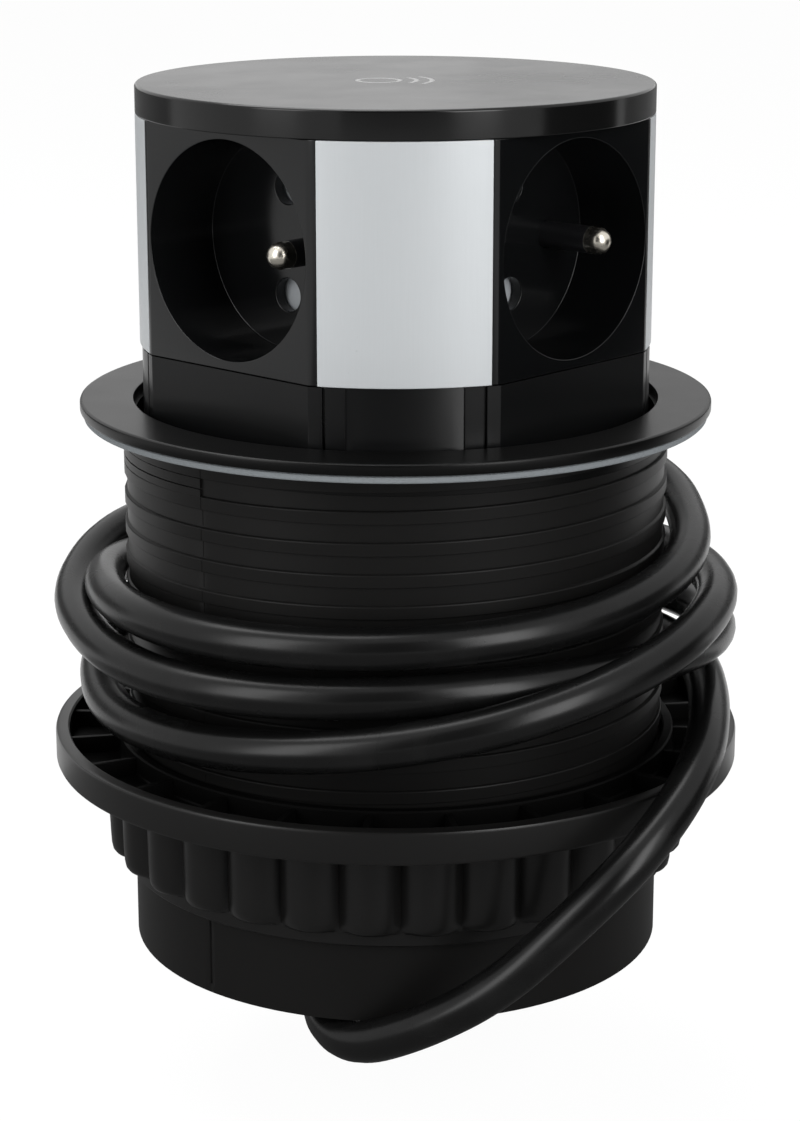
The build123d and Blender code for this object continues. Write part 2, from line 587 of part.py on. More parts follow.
def cord_boot():
    """Side-pointing boot under the cap: a root against the floor and a tapered, ringed sleeve."""
    root = outlet()
    low = CAP_FLOOR_TOP - CAP_FLOOR
    bottom = root.Z - OUTLET_RADIUS + 0.6
    elbow = Pos(root.X, root.Y, (low + bottom) / 2) * Cylinder(OUTLET_RADIUS, low - bottom)
    elbow += Pos(root.X, root.Y, low + 0.5) * Cylinder(CORD_RADIUS + 0.3, 2.9)
    along = Plane(origin=root, z_dir=lead_direction())
    cone = [(0, 0), (5.2, 0)]
    rings = 4
    pitch = (BOOT_LENGTH - 6) / rings
    for k in range(rings):
        start = 6 + pitch * k
        radius = 5.2 - 0.22 * k
        half = start + pitch / 2
        cone += [(radius, start), (radius - 0.6, start), (radius - 0.6, half), (radius - 0.2, half)]
    cone += [(CORD_RADIUS + 0.4, BOOT_LENGTH), (0, BOOT_LENGTH)]
    boot = along * turned([(r, z) for r, z in cone])
    return elbow + boot


def cord_clamp():
    """Saddle on the tower's base plate that grips the inner lead, and its two screws."""
    x, y = LEAD_ENTRY
    low, high = PLATE_TOP, BOARD_BOTTOM - CLEARANCE
    saddle = Pos(x, y, (low + high) / 2) * Box(24, 9, high - low)
    saddle -= Pos(x, y, (low + high) / 2) * Cylinder(INNER_LEAD_RADIUS + TIGHT / 2, 9)
    screws = []
    for side in (-1, 1):
        place = Pos(x + side * 9, y, 0)
        saddle -= place * Pos(0, 0, low) * Cylinder(1.4, 9)
        screws.append(place * Pos(0, 0, (low - 1 + high - 0.4) / 2) * Cylinder(1.3, high - low + 0.6))
    return {"cord_clamp": saddle, "clamp_screws": Compound(children=screws)}


def inner_lead():
    """Slack length of cord between the clamp and the raised tower."""
    x, y, _ = outlet()
    foot = Vector(x, y, CAP_FLOOR_TOP + 0.05)
    top = Vector(LEAD_ENTRY[0], LEAD_ENTRY[1], BOARD_BOTTOM - CLEARANCE)
    span = top.Z - foot.Z
    end_run = Vector(0, 0, 0.16 * span)
    low_bend, high_bend = foot + Vector(9, -5, 0.36 * span), foot + Vector(7, 4, 0.6 * span)
    points = [foot, foot + end_run, low_bend, high_bend, top - end_run, top]
    return cord_tube(points, INNER_LEAD_RADIUS)[0]


def fillet_radii(points):
    """Largest even arc at each corner: 0.45 of its shorter run over the tangent of half the turn."""
    radii = []
    for before, here, after in zip(points, points[1:], points[2:]):
        half_turn = (here - before).get_angle(after - here) / 2
        shorter = min((here - before).length, (after - here).length)
        radii.append(0.45 * shorter / tan(radians(half_turn)))
    return radii


def cord_section(place, along, radius):
    """Many-sided section of a cord, square to its path."""
    return Plane(origin=place, z_dir=along) * RegularPolygon(radius, CORD_SIDES)


def cord_tube(points, radius):
    """Tube along straight runs joined by tangent arcs, with its path's length."""
    points = [Vector(*p) for p in points]
    radii = fillet_radii(points)
    path = FilletPolyline(*points, radius=radii)
    return sweep(cord_section(path @ 0, path % 0, radius), path=path), radii, path.length


@dataclass(frozen=True)
class Station:
    """Place on the winding, with the direction in which the cord runs there."""

    place: Vector
    along: Vector


def stations():
    """The winding's places, with directions worked out from their neighbours."""
    found = []
    count = len(WINDING)
    for k, (angle, radius, height) in enumerate(WINDING):
        before, after = WINDING[max(k - 1, 0)], WINDING[min(k + 1, count - 1)]
        span = radians(after[0] - before[0])
        rates = [(after[i] - before[i]) / span for i in (1, 2)]
        if 0 < k < count - 1:
            w0, w1 = angle - before[0], after[0] - angle
            slopes = [
                ((here - before[i]) / radians(w0), (after[i] - here) / radians(w1))
                for i, here in ((1, radius), (2, height))
            ]
            rates = [(early * w1 + late * w0) / (w0 + w1) for early, late in slopes]
        a = radians(angle)
        outward, forward = Vector(sin(a), -cos(a), 0), Vector(cos(a), sin(a), 0)
        along = outward * rates[0] + forward * radius + Vector(0, 0, rates[1])
        found.append(Station(outward * radius + Vector(0, 0, height), along.normalized()))
    return found


def arc_points(start, along, end, steps):
    """Points on the circular arc that leaves start in a given direction and reaches end."""
    chord = end - start
    lean = acos(max(-1.0, min(1.0, chord.normalized().dot(along))))
    if lean < 1e-6:
        return [start + chord * (k / steps) for k in range(steps + 1)]
    radius = chord.length / (2 * sin(lean))
    side = (chord - along * chord.dot(along)).normalized()
    turns = [2 * lean * k / steps for k in range(steps + 1)]
    return [start + along * (radius * sin(t)) + side * (radius * (1 - cos(t))) for t in turns]


def biarc(first, last, steps=8):
    """Two arcs that join smoothly from one station to the next, each as a list of points."""
    v, t = last.place - first.place, first.along + last.along
    a, b, c = 2 * first.along.dot(last.along) - 2, -2 * v.dot(t), v.dot(v)
    reach = -c / b if abs(a) < 1e-9 else (b + sqrt(b * b - 4 * a * c)) / (-2 * a)
    if reach <= 0:
        reach = (b - sqrt(b * b - 4 * a * c)) / (-2 * a)
    joint = (first.place + first.along * reach + last.place - last.along * reach) * 0.5
    one = arc_points(first.place, first.along, joint, steps)
    two = arc_points(last.place, last.along * -1, joint, steps)[::-1]
    return one, two


def winding_path():
    """The winding's arcs as edges, and points along all of them."""
    edges, points = [], []
    places = stations()
    for first, last in zip(places, places[1:]):
        for arc in biarc(first, last):
            edges.append(Edge.make_three_point_arc(arc[0], arc[len(arc) // 2], arc[-1]))
            points += arc[:-1]
    points.append(places[-1].place)
    return Wire(edges), points


def least_gap(points, radius):
    """Smallest gap between strands of a tube that pass each other more than a few diameters along."""
    run = [0.0]
    for a, b in zip(points, points[1:]):
        run.append(run[-1] + (b - a).length)
    gaps = []
    for i, a in enumerate(points):
        for j in range(i + 1, len(points)):
            if run[j] - run[i] > 6 * radius:
                gaps.append((a - points[j]).length - 2 * radius)
    return min(gaps), run[-1]


def mains_cord():
    """The cord's free lead, its winding round the sleeve and its tail at the back."""
    path, points = winding_path()
    start, finish = stations()[0], stations()[-1]
    winding = sweep(cord_section(start.place, start.along, CORD_RADIUS), path=path)
    straight = 2 * CORD_RADIUS
    lead_points = [Vector(*p) for p in LEAD] + [start.place - start.along * straight, start.place]
    tail_points = [finish.place, finish.place + finish.along * straight] + [Vector(*p) for p in TAIL]
    lead, lead_radii, lead_length = cord_tube(lead_points, CORD_RADIUS)
    tail, tail_radii, tail_length = cord_tube(tail_points, CORD_RADIUS)
    gap, winding_length = least_gap(points, CORD_RADIUS)
    print("lead radii", [round(r, 1) for r in lead_radii], "length", round(lead_length, 1))
    print("tail radii", [round(r, 1) for r in tail_radii], "length", round(tail_length, 1))
    print("winding length", round(winding_length, 1), "least gap", round(gap, 2))
    area = CORD_SIDES / 2 * CORD_RADIUS**2 * sin(2 * pi / CORD_SIDES)
    solids = {"cord_lead": lead, "cord_winding": winding, "cord_tail": tail}
    for (name, solid), length in zip(solids.items(), (lead_length, winding_length, tail_length)):
        print(name, "volume over section times length", round(solid.volume / (area * length), 4))
    return solids


def plug():
    """Moulded mains plug at the end of the tail, with its two pins and the earth strips at its sides."""
    end = Vector(*TAIL[-1])
    along = Plane(origin=end, x_dir=(1, 0, 0), z_dir=end - Vector(*TAIL[-2]))
    neck = CORD_RADIUS + 0.6
    shoulder = PLUG_RELIEF
    face = PLUG_RELIEF + PLUG_BODY
    body = turned([
        (0, 0), (neck, 0), (neck + 1.2, shoulder * 0.5), (neck + 2.2, shoulder), (10.0, shoulder + 1.5),
        (12.5, shoulder + 8), (15.5, shoulder + 17), (PLUG_RADIUS, shoulder + 23), (PLUG_RADIUS, face - 0.8),
        (PLUG_RADIUS - 0.8, face), (0, face),
    ])
    for side in (-1, 1):
        body -= slab(side * PLUG_RADIUS - 1.6, side * PLUG_RADIUS + 1.6, -3.2, 3.2, face - 13, face + 1)
        body -= Pos(0, side * PIN_SPACING / 2, face - 4) * Cylinder(PLUG_PIN_ROOT + 0.05, 8.2)
    body -= Pos(-EARTH_PIN_OFFSET, 0, face - 8) * Cylinder(EARTH_PIN_RADIUS + 0.2, 18)
    pins, clips = [], []
    for side in (-1, 1):
        pin = Cylinder(EARTH_PIN_RADIUS, PLUG_PIN_LENGTH)
        pin = chamfer(pin.edges().sort_by(Axis.Z)[-1:], 0.8)
        pin += Pos(0, 0, -PLUG_PIN_LENGTH / 2 - 4) * Cylinder(PLUG_PIN_ROOT, 8)
        pins.append(Pos(0, side * PIN_SPACING / 2, face + PLUG_PIN_LENGTH / 2 + 0.02) * pin)
        middle = side * (PLUG_RADIUS - 0.9)
        clips.append(slab(middle - 0.4, middle + 0.4, -2.6, 2.6, face - 12.5, face - 0.5))
    nodes = {
        "plug_body": body,
        "plug_pins": Compound(children=pins),
        "plug_earth_strips": Compound(children=clips),
    }
    return {name: along * shape for name, shape in nodes.items()}


def clamp_nut():
    """Big hand nut under the worktop: a ribbed trough, a tall fluted grip and a plain collar below it."""
    rim_in = NUT_RIM_RADIUS - NUT_RIM_WALL
    trough = NUT_RIM_BOTTOM + NUT_FLOOR
    low = NUT_GRIP_BOTTOM - NUT_COLLAR_HEIGHT
    nut = turned([
        (NUT_BORE, low), (NUT_HUB - NUT_HUB_STEP, low), (NUT_HUB - NUT_HUB_STEP, NUT_GRIP_BOTTOM),
        (NUT_HUB, NUT_GRIP_BOTTOM),
        (NUT_HUB, NUT_RIM_BOTTOM), (NUT_RIM_RADIUS - NUT_EDGE, NUT_RIM_BOTTOM),
        (NUT_RIM_RADIUS, NUT_RIM_BOTTOM + NUT_EDGE), (NUT_RIM_RADIUS, NUT_TOP - NUT_EDGE),
        (NUT_RIM_RADIUS - NUT_EDGE, NUT_TOP), (rim_in, NUT_TOP), (rim_in, trough),
        (NUT_HUB + 0.6, trough), (NUT_HUB + 0.6, NUT_TOP - NUT_HUB_DROP), (NUT_BORE, NUT_TOP - NUT_HUB_DROP),
    ])
    centre = NUT_HUB + NUT_LOBE_RISE - NUT_LOBE_RADIUS
    flutes = Circle(NUT_HUB)
    for k in range(NUT_LOBES):
        angle = radians(360 / NUT_LOBES * k + NUT_TURN)
        flutes += Pos(centre * sin(angle), -centre * cos(angle)) * Circle(NUT_LOBE_RADIUS)
    flutes -= Circle(NUT_BORE)
    grip = Pos(0, 0, NUT_GRIP_BOTTOM) * extrude(flutes, NUT_GRIP_HEIGHT + 0.5)
    widest = NUT_HUB + NUT_LOBE_RISE
    foot = widest - NUT_LOBE_TAPER
    shape = turned([
        (NUT_BORE - 1, NUT_GRIP_BOTTOM), (NUT_HUB + 0.2, NUT_GRIP_BOTTOM),
        (foot - 0.4, NUT_GRIP_BOTTOM + NUT_LOBE_ROUND / 3), (foot, NUT_GRIP_BOTTOM + NUT_LOBE_ROUND),
        (widest, NUT_RIM_BOTTOM + 1), (NUT_BORE - 1, NUT_RIM_BOTTOM + 1),
    ])
    nut += grip & shape
    for k in range(NUT_RIBS):
        half = NUT_RIB_THICKNESS / 2
        rib = slab(-half, half, -rim_in - 0.5, -NUT_HUB, trough - 0.5, NUT_TOP - 1.2)
        nut += Rot(0, 0, 360 / NUT_RIBS * k + NUT_TURN) * rib
    return nut


def build():
    """Every node by name."""
    nodes = {"top_lid": top_lid(), "tie_screws": tie_screws()}
    nodes.update(charger())
    nodes.update(side_panels())
    kinds = {
        "socket_cup": socket_cup(), "contact_carrier": contact_carrier(), "contact_set": contact_set(),
        "earth_pin": earth_pin(), "shutter": shutter(), "shutter_spring": shutter_spring(),
    }
    for number, turn in enumerate(SOCKET_TURNS, 1):
        for kind, shape in kinds.items():
            nodes[f"{kind}_{number}"] = facing(turn) * shape
    nodes["tower_body"] = tower_body()
    nodes["tower_base_plate"] = base_plate()
    nodes["power_supply"] = power_supply()
    nodes["distribution_block"] = distribution_block()
    nodes["riser_wires"] = riser_wires()
    nodes["trim_ring"] = trim_ring()
    nodes["gasket"] = gasket()
    nodes["threaded_sleeve"] = sleeve()
    nodes["bottom_cap"] = bottom_cap()
    nodes["cord_boot"] = cord_boot()
    nodes.update(cord_clamp())
    nodes["inner_lead"] = inner_lead()
    nodes["clamp_nut"] = clamp_nut()
    nodes.update(mains_cord())
    nodes.update(plug())
    return nodes


os.makedirs("parts", exist_ok=True)
for name, shape in build().items():
    export_step(shape, f"parts/{name}.step")
    print(name, len(shape.solids()), round(shape.volume))
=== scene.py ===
"""Pop-up power tower for a worktop: studio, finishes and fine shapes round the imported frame.

Lengths are in millimetres, and turns in degrees from the front over the right, where nothing
else is said.
"""

import logging
from dataclasses import dataclass
from enum import Enum
from math import cos, hypot, pi, radians, sin, sqrt
from typing import Callable, Dict, Iterable, List, Mapping, Optional, Sequence, Tuple, Union

import bmesh
import bpy
from bmesh.types import BMEdge, BMVert
from bpy.types import ID, Material, MeshPolygon, Node, NodeSocket, NodeTree, Object
from mathutils import Matrix, Vector


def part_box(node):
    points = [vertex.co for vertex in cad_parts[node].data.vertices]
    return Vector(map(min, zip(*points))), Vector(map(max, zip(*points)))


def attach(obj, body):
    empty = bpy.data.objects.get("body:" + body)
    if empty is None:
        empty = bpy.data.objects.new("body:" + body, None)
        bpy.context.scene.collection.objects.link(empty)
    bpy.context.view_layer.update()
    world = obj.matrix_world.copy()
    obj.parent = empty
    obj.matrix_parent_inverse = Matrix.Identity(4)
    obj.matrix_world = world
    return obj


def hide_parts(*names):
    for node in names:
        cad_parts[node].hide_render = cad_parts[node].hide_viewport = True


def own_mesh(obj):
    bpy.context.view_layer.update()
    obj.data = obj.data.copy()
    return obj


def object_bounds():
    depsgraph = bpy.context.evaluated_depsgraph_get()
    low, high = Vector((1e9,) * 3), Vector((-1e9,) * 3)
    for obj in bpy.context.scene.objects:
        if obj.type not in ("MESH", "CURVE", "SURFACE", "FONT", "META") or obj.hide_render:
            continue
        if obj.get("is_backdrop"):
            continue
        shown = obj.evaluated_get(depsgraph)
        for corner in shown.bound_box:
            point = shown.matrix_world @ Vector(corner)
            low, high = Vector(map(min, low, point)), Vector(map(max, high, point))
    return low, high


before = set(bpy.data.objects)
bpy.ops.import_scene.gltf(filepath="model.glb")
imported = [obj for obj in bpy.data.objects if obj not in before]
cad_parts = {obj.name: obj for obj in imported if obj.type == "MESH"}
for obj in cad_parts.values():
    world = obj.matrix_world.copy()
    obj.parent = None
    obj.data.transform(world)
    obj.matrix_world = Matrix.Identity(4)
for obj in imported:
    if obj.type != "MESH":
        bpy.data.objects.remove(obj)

LOG = logging.getLogger("power_tower")
MM = 0.001
MERGE = 0.002  # points closer than this are one
WHITE = (1.0, 1.0, 1.0)
Point = Tuple[float, float, float]
Colour = Tuple[float, float, float]
Number = Union[float, "Signal"]


# Node trees


def operator(operation: str, flipped: bool = False) -> Callable[["Signal", Number], "Signal"]:
    """Python operator that adds a Math node.

    Args:
        operation: the node's operation.
        flipped: whether the signal comes second.

    Returns:
        The operator.
    """

    def apply(signal: "Signal", other: Number) -> "Signal":
        """Add the node."""
        return signal.nodes.maths(operation, *((other, signal) if flipped else (signal, other)))

    return apply


class Signal:
    """A number that changes over a surface: a node's socket that takes part in Python sums."""

    __add__, __radd__ = operator("ADD"), operator("ADD", True)
    __sub__, __rsub__ = operator("SUBTRACT"), operator("SUBTRACT", True)
    __mul__, __rmul__ = operator("MULTIPLY"), operator("MULTIPLY", True)
    __pow__ = operator("POWER")

    def __init__(self, nodes: "Nodes", socket: NodeSocket) -> None:
        """Keep the socket and the tree that it belongs to."""
        self.nodes = nodes
        self.socket = socket

    def sine(self) -> "Signal":
        """Sine."""
        return self.nodes.maths("SINE", self)

    def size(self) -> "Signal":
        """Absolute value."""
        return self.nodes.maths("ABSOLUTE", self)

    def over(self, low: float, high: float) -> "Signal":
        """Smooth step.

        Args:
            low: value at which it leaves 0.
            high: value at which it reaches 1.

        Returns:
            The step.
        """
        inputs = {"Value": self, "From Min": low, "From Max": high}
        made = self.nodes.node("ShaderNodeMapRange", {"interpolation_type": "SMOOTHSTEP"}, inputs)
        return Signal(self.nodes, made.outputs["Result"])


class Nodes:
    """Node tree under construction."""

    def __init__(self, tree: NodeTree) -> None:
        """Start with an empty tree."""
        self.tree = tree
        tree.nodes.clear()

    def node(
        self, kind: str, settings: Optional[Mapping[str, object]] = None,
        inputs: Optional[Mapping[Union[str, int], object]] = None,
    ) -> Node:
        """Add a node.

        Args:
            kind: the node's type.
            settings: its properties, set first.
            inputs: values or links of its sockets.

        Returns:
            The node.
        """
        made = self.tree.nodes.new(kind)
        for key, value in (settings or {}).items():
            setattr(made, key, value)
        for key, value in (inputs or {}).items():
            self.feed(made.inputs[key], value)
        return made

    def feed(self, socket: NodeSocket, value: object) -> None:
        """Link a socket, or set its plain value.

        Args:
            socket: the input.
            value: a signal, a socket, a number or a colour.
        """
        if isinstance(value, Signal):
            value = value.socket
        if isinstance(value, NodeSocket):
            self.tree.links.new(value, socket)
        elif isinstance(value, tuple) and socket.type == "RGBA":
            socket.default_value = (*value, 1.0)
        else:
            socket.default_value = value

    def maths(self, operation: str, *values: Number) -> Signal:
        """Add a Math node and return its result."""
        made = self.node("ShaderNodeMath", {"operation": operation}, dict(enumerate(values)))
        return Signal(self, made.outputs[0])

    def seen(self) -> Signal:
        """Tell the rays that the white surround is for.

        Returns:
            1 for camera, glossy and transmission rays.
        """
        path = self.node("ShaderNodeLightPath")
        camera, gloss, through = (
            Signal(self, path.outputs[f"Is {kind} Ray"])
            for kind in ("Camera", "Glossy", "Transmission")
        )
        return self.maths("MAXIMUM", self.maths("MAXIMUM", camera, gloss), through)


class Shader(Nodes):
    """Nodes of one material round a Principled surface."""

    def __init__(self, name: str) -> None:
        """Start a material with its surface and its place on Object coordinates.

        Args:
            name: the material's name.
        """
        self.material = bpy.data.materials.new(name)
        self.material.use_nodes = True
        super().__init__(self.material.node_tree)
        self.surface = self.node("ShaderNodeBsdfPrincipled")
        inputs = {"Surface": self.surface.outputs["BSDF"]}
        self.output = self.node("ShaderNodeOutputMaterial", {}, inputs)
        self.place = self.node("ShaderNodeTexCoord").outputs["Object"]

    def axes(self) -> Tuple[Signal, Signal, Signal]:
        """Object coordinates as three signals, in metres."""
        made = self.node("ShaderNodeSeparateXYZ", {}, {"Vector": self.place})
        return tuple(Signal(self, made.outputs[k]) for k in range(3))

    def stretched(self, scale: Point) -> NodeSocket:
        """Object coordinates times a factor along each axis."""
        inputs = {"Vector": self.place, "Scale": scale}
        return self.node("ShaderNodeMapping", {}, inputs).outputs["Vector"]

    def noise(
        self, size: float, detail: float = 2.0, roughness: float = 0.5,
        place: Optional[NodeSocket] = None,
    ) -> Signal:
        """Cloudy noise.

        Args:
            size: width of its blobs in millimetres.
            detail: number of finer layers.
            roughness: how strong the finer layers are.
            place: vector to read, or Object coordinates.

        Returns:
            The noise, from 0 to 1.
        """
        inputs = {
            "Vector": place or self.place, "Scale": 1.0 / (size * MM),
            "Detail": detail, "Roughness": roughness,
        }
        made = self.node("ShaderNodeTexNoise", {"noise_dimensions": "3D"}, inputs)
        return Signal(self, made.outputs["Fac"])

    def blend(self, factor: Number, first: object, second: object) -> NodeSocket:
        """Mix two colours, from the first at 0 to the second at 1."""
        inputs = {"Factor": factor, 6: first, 7: second}
        return self.node("ShaderNodeMix", {"data_type": "RGBA"}, inputs).outputs[2]

    def relief(self, height: Signal, depth: float, share: float = 1.0) -> None:
        """Bump the surface.

        Args:
            height: height from 0 to 1.
            depth: depth of the relief in millimetres.
            share: strength of the bump from 0 to 1.
        """
        inputs = {"Height": height, "Distance": depth * MM, "Strength": share}
        made = self.node("ShaderNodeBump", {}, inputs)
        self.feed(self.surface.inputs["Normal"], made.outputs["Normal"])

    def set(self, **values: object) -> None:
        """Feed the surface's sockets, named with underscores for spaces."""
        for key, value in values.items():
            self.feed(self.surface.inputs[key.replace("_", " ")], value)


# Finishes


@dataclass(frozen=True)
class Finish:
    """Finish of a surface."""

    name: str
    colour: Colour  # base colour in linear light
    rough: float
    reflect: float = 0.5  # strength of the reflection, 0.5 for plain plastic

    def shade(self, shader: Shader) -> None:
        """Give the shader the finish's look."""
        raise NotImplementedError

    def material(self) -> Material:
        """The finish's material, made once.

        Returns:
            The material.
        """
        found = bpy.data.materials.get(self.name)
        if found is None:
            shader = Shader(self.name)
            shader.set(Specular_IOR_Level=self.reflect)
            self.shade(shader)
            found = shader.material
        return found

    def toned(self, share: float, lift: float = 0.0) -> Colour:
        """The base colour times a share, and lifted."""
        return tuple(part * share + lift for part in self.colour)


@dataclass(frozen=True)
class MouldedPlastic(Finish):
    """Moulded plastic with a spark-eroded grain, faint flow marks and light rubbing."""

    grain: float = 0.35  # size of the grain
    depth: float = 0.006  # depth of the grain
    scuff: float = 0.1  # share of rubbed, paler patches

    def shade(self, shader: Shader) -> None:
        """Give the shader the finish's look.

        Args:
            shader: nodes of the new material.
        """
        flow = shader.noise(24.0, 3.0, 0.6)
        grain = shader.noise(self.grain, 1.0)
        dust = shader.noise(1.1, 4.0, 0.7).over(0.66, 0.8)
        pale = self.toned(1.8, 0.006)
        tone = shader.blend(flow.over(0.35, 0.7) * 0.5, self.colour, self.toned(0.8))
        shader.set(
            Base_Color=shader.blend(dust * self.scuff, tone, pale),
            Roughness=self.rough + (flow - 0.5) * 0.12 + dust * 0.05,
        )
        shader.relief(grain, self.depth)


@dataclass(frozen=True)
class SatinMetal(Finish):
    """Satin metal or metal paint with fine lines along one axis."""

    metal: float = 0.8  # metallic share
    lines: float = 0.12  # width of the lines
    length: float = 12.0  # length of the lines
    depth: float = 0.002  # depth of the lines

    def shade(self, shader: Shader) -> None:
        """Give the shader the finish's look.

        Args:
            shader: nodes of the new material.
        """
        along = shader.stretched((1.0, 1.0, self.lines / self.length))
        brushed = shader.noise(self.lines, 2.0, 0.6, along)
        cloud = shader.noise(14.0, 2.0)
        speck = shader.noise(0.9, 2.0, 0.5).over(0.74, 0.79)
        tone = shader.blend(brushed.over(0.25, 0.75) * 0.35, self.colour, self.toned(0.93))
        shader.set(
            Base_Color=shader.blend(speck * 0.25, tone, self.toned(0.6)),
            Metallic=self.metal,
            Roughness=self.rough + (cloud - 0.5) * 0.08 + brushed * 0.04,
        )
        shader.relief(brushed, self.depth, 0.6)


@dataclass(frozen=True)
class CordRubber(Finish):
    """Matt rubber sheath with a faint bloom and shallow waves where the cores lie under it."""

    def shade(self, shader: Shader) -> None:
        """Give the shader the finish's look.

        Args:
            shader: nodes of the new material.
        """
        bloom = shader.noise(9.0, 2.0)
        skin = shader.noise(0.5, 2.0)
        wave = shader.noise(6.0, 1.0)
        chalk = self.toned(1.6, 0.004)
        shader.set(
            Base_Color=shader.blend(bloom.over(0.45, 0.8) * 0.3, self.colour, chalk),
            Roughness=self.rough + (bloom - 0.5) * 0.08,
        )
        shader.relief(skin * 0.02 + wave * 0.98, 0.05, 0.4)


@dataclass(frozen=True)
class FoamRubber(Finish):
    """Closed-cell foam with an open, pitted skin."""

    pit: float = 0.7  # width of a pit

    def shade(self, shader: Shader) -> None:
        """Give the shader the finish's look.

        Args:
            shader: nodes of the new material.
        """
        inputs = {"Vector": shader.place, "Scale": 1.0 / (self.pit * MM)}
        made = shader.node("ShaderNodeTexVoronoi", {"feature": "F1"}, inputs)
        cell = Signal(shader, made.outputs["Distance"])
        cloud = shader.noise(5.0, 3.0)
        # Darker colour in the pits is painted shade; the cloud part is a random tone.
        pale = cell.over(0.1, 0.6) * 0.4 + cloud * 0.2
        shader.set(
            Base_Color=shader.blend(pale, self.toned(0.8), self.colour),
            Roughness=self.rough + cloud * 0.05,
        )
        shader.relief(cell, 0.08, 0.8)


@dataclass(frozen=True)
class PlatedMetal(Finish):
    """Plated or bare metal with faint drawing lines and finger haze."""

    def shade(self, shader: Shader) -> None:
        """Give the shader the finish's look.

        Args:
            shader: nodes of the new material.
        """
        haze = shader.noise(3.0, 3.0)
        lines = shader.noise(0.25, 2.0, 0.6)
        shader.set(
            Base_Color=shader.blend(haze.over(0.4, 0.7) * 0.3, self.colour, self.toned(0.82)),
            Metallic=1.0,
            Roughness=self.rough + haze * 0.1,
        )
        shader.relief(lines, 0.003, 0.4)


@dataclass(frozen=True)
class CircuitBoard(Finish):
    """Lacquered board with tracks, or dark parts where it rises above the board."""

    top: float = 0.0  # height of the board's upper face, in the row frame
    under: bool = False  # whether its parts hang below it
    tracks: Tuple[float, float] = (2.4, 3.1)  # spacing of its tracks in X and Y

    def shade(self, shader: Shader) -> None:
        """Give the shader the finish's look.

        Args:
            shader: nodes of the new material.
        """
        x, y, z = shader.axes()
        across, along = (
            (axis * (2 * pi / (step * MM))).sine() for axis, step in zip((x, y), self.tracks)
        )
        grid = (across * along).over(0.25, 0.4)
        cloud = shader.noise(2.5, 3.0)
        edge = self.top * MM
        parts = (edge - z).over(0.0, 0.0002) if self.under else (z - edge).over(0.0, 0.0002)
        lacquer = shader.blend(grid * 0.5, self.colour, self.toned(1.7, 0.02))
        shader.set(
            Base_Color=shader.blend(parts, lacquer, (0.03, 0.03, 0.034)),
            Roughness=self.rough + cloud * 0.12,
        )
        shader.relief(grid * (1.0 - parts), 0.035, 0.6)


@dataclass(frozen=True)
class WoundWire(Finish):
    """Flat coil of enamelled wire."""

    pitch: float = 0.9  # distance between turns

    def shade(self, shader: Shader) -> None:
        """Give the shader the finish's look.

        Args:
            shader: nodes of the new material.
        """
        x, y, _ = shader.axes()
        turn = ((x * x + y * y) ** 0.5) * (2 * pi / (self.pitch * MM))
        wire = turn.sine() * 0.5 + 0.5
        # The darker colour between the turns is painted shade in the grooves.
        shader.set(
            Base_Color=shader.blend(wire, self.toned(0.35), self.colour),
            Metallic=0.9,
            Roughness=self.rough + (1.0 - wire) * 0.2,
        )
        shader.relief(wire, 0.3, 0.8)


@dataclass(frozen=True)
class TippedPin(Finish):
    """Earth pin with an insulated black shank and a bare plated tip."""

    split: float = 38.0  # distance from the tower's middle at which the bare tip begins
    shank: Colour = (0.008, 0.008, 0.009)  # colour of the shank
    matt: float = 0.32  # roughness of the shank

    def shade(self, shader: Shader) -> None:
        """Give the shader the finish's look.

        Args:
            shader: nodes of the new material.
        """
        x, y, _ = shader.axes()
        across = shader.maths("MAXIMUM", (x + y).size(), (x - y).size()) * (1.0 / (sqrt(2.0) * MM))
        tip = across.over(self.split - 0.06, self.split + 0.06)
        haze = shader.noise(2.0, 3.0)
        plate = shader.blend(haze * 0.3, self.colour, self.toned(0.8))
        shader.set(
            Base_Color=shader.blend(tip, self.shank, plate),
            Metallic=tip,
            Roughness=tip * (self.rough - self.matt) + self.matt + haze * 0.06,
        )
        shader.relief(shader.noise(0.3, 1.0), 0.003, 0.4)


def grey(tone: float, warm: float = 0.0) -> Colour:
    """A grey in linear light, redder than blue by a share on each side."""
    return (tone * (1.0 + warm), tone, tone * (1.0 - warm))


BLACK_PLASTIC = MouldedPlastic("satin_black_plastic", grey(0.0036, -0.04), 0.3, reflect=0.2)
FLANGE_PLASTIC = MouldedPlastic("flange_black_plastic", grey(0.002), 0.3, reflect=0.14)
HOUSING_PLASTIC = MouldedPlastic(
    "housing_black_plastic", grey(0.0056, 0.03), 0.4, depth=0.008, reflect=0.1
)
NUT_PLASTIC = MouldedPlastic(
    "nut_black_plastic", grey(0.0045, 0.03), 0.33, grain=0.5, reflect=0.26, scuff=0.2
)
# Darker, matt copy of the nut's plastic for the trough and its ribs: painted shade where the cord
# overhangs the trough.
TROUGH_SHADE_PLASTIC = MouldedPlastic(
    "nut_trough_painted_shade", grey(0.0016, 0.03), 0.5, grain=0.5, reflect=0.06
)
SOCKET_PLASTIC = MouldedPlastic(
    "socket_black_plastic", grey(0.0035, -0.06), 0.14, depth=0.0012, reflect=0.3, scuff=0.03
)
LID_PLASTIC = MouldedPlastic(
    "lid_side_black", grey(0.004), 0.16, depth=0.001, reflect=0.26, scuff=0.03
)
LID_FACE = MouldedPlastic(
    "lid_satin_grey", grey(0.013), 0.26, grain=0.25, depth=0.002, reflect=0.23, scuff=0.03
)
LID_MARK = MouldedPlastic("lid_mark_grey", grey(0.3), 0.4, depth=0.001, reflect=0.4, scuff=0.0)
SHUTTER_PLASTIC = MouldedPlastic("blind_grey_plastic", grey(0.33, -0.05), 0.4, scuff=0.0)
WIRE_PLASTIC = MouldedPlastic("wire_sheath", grey(0.012), 0.4, scuff=0.0)
BLACK_CARD = MouldedPlastic("black_card", grey(0.001), 1.0, reflect=0.0, scuff=0.0)
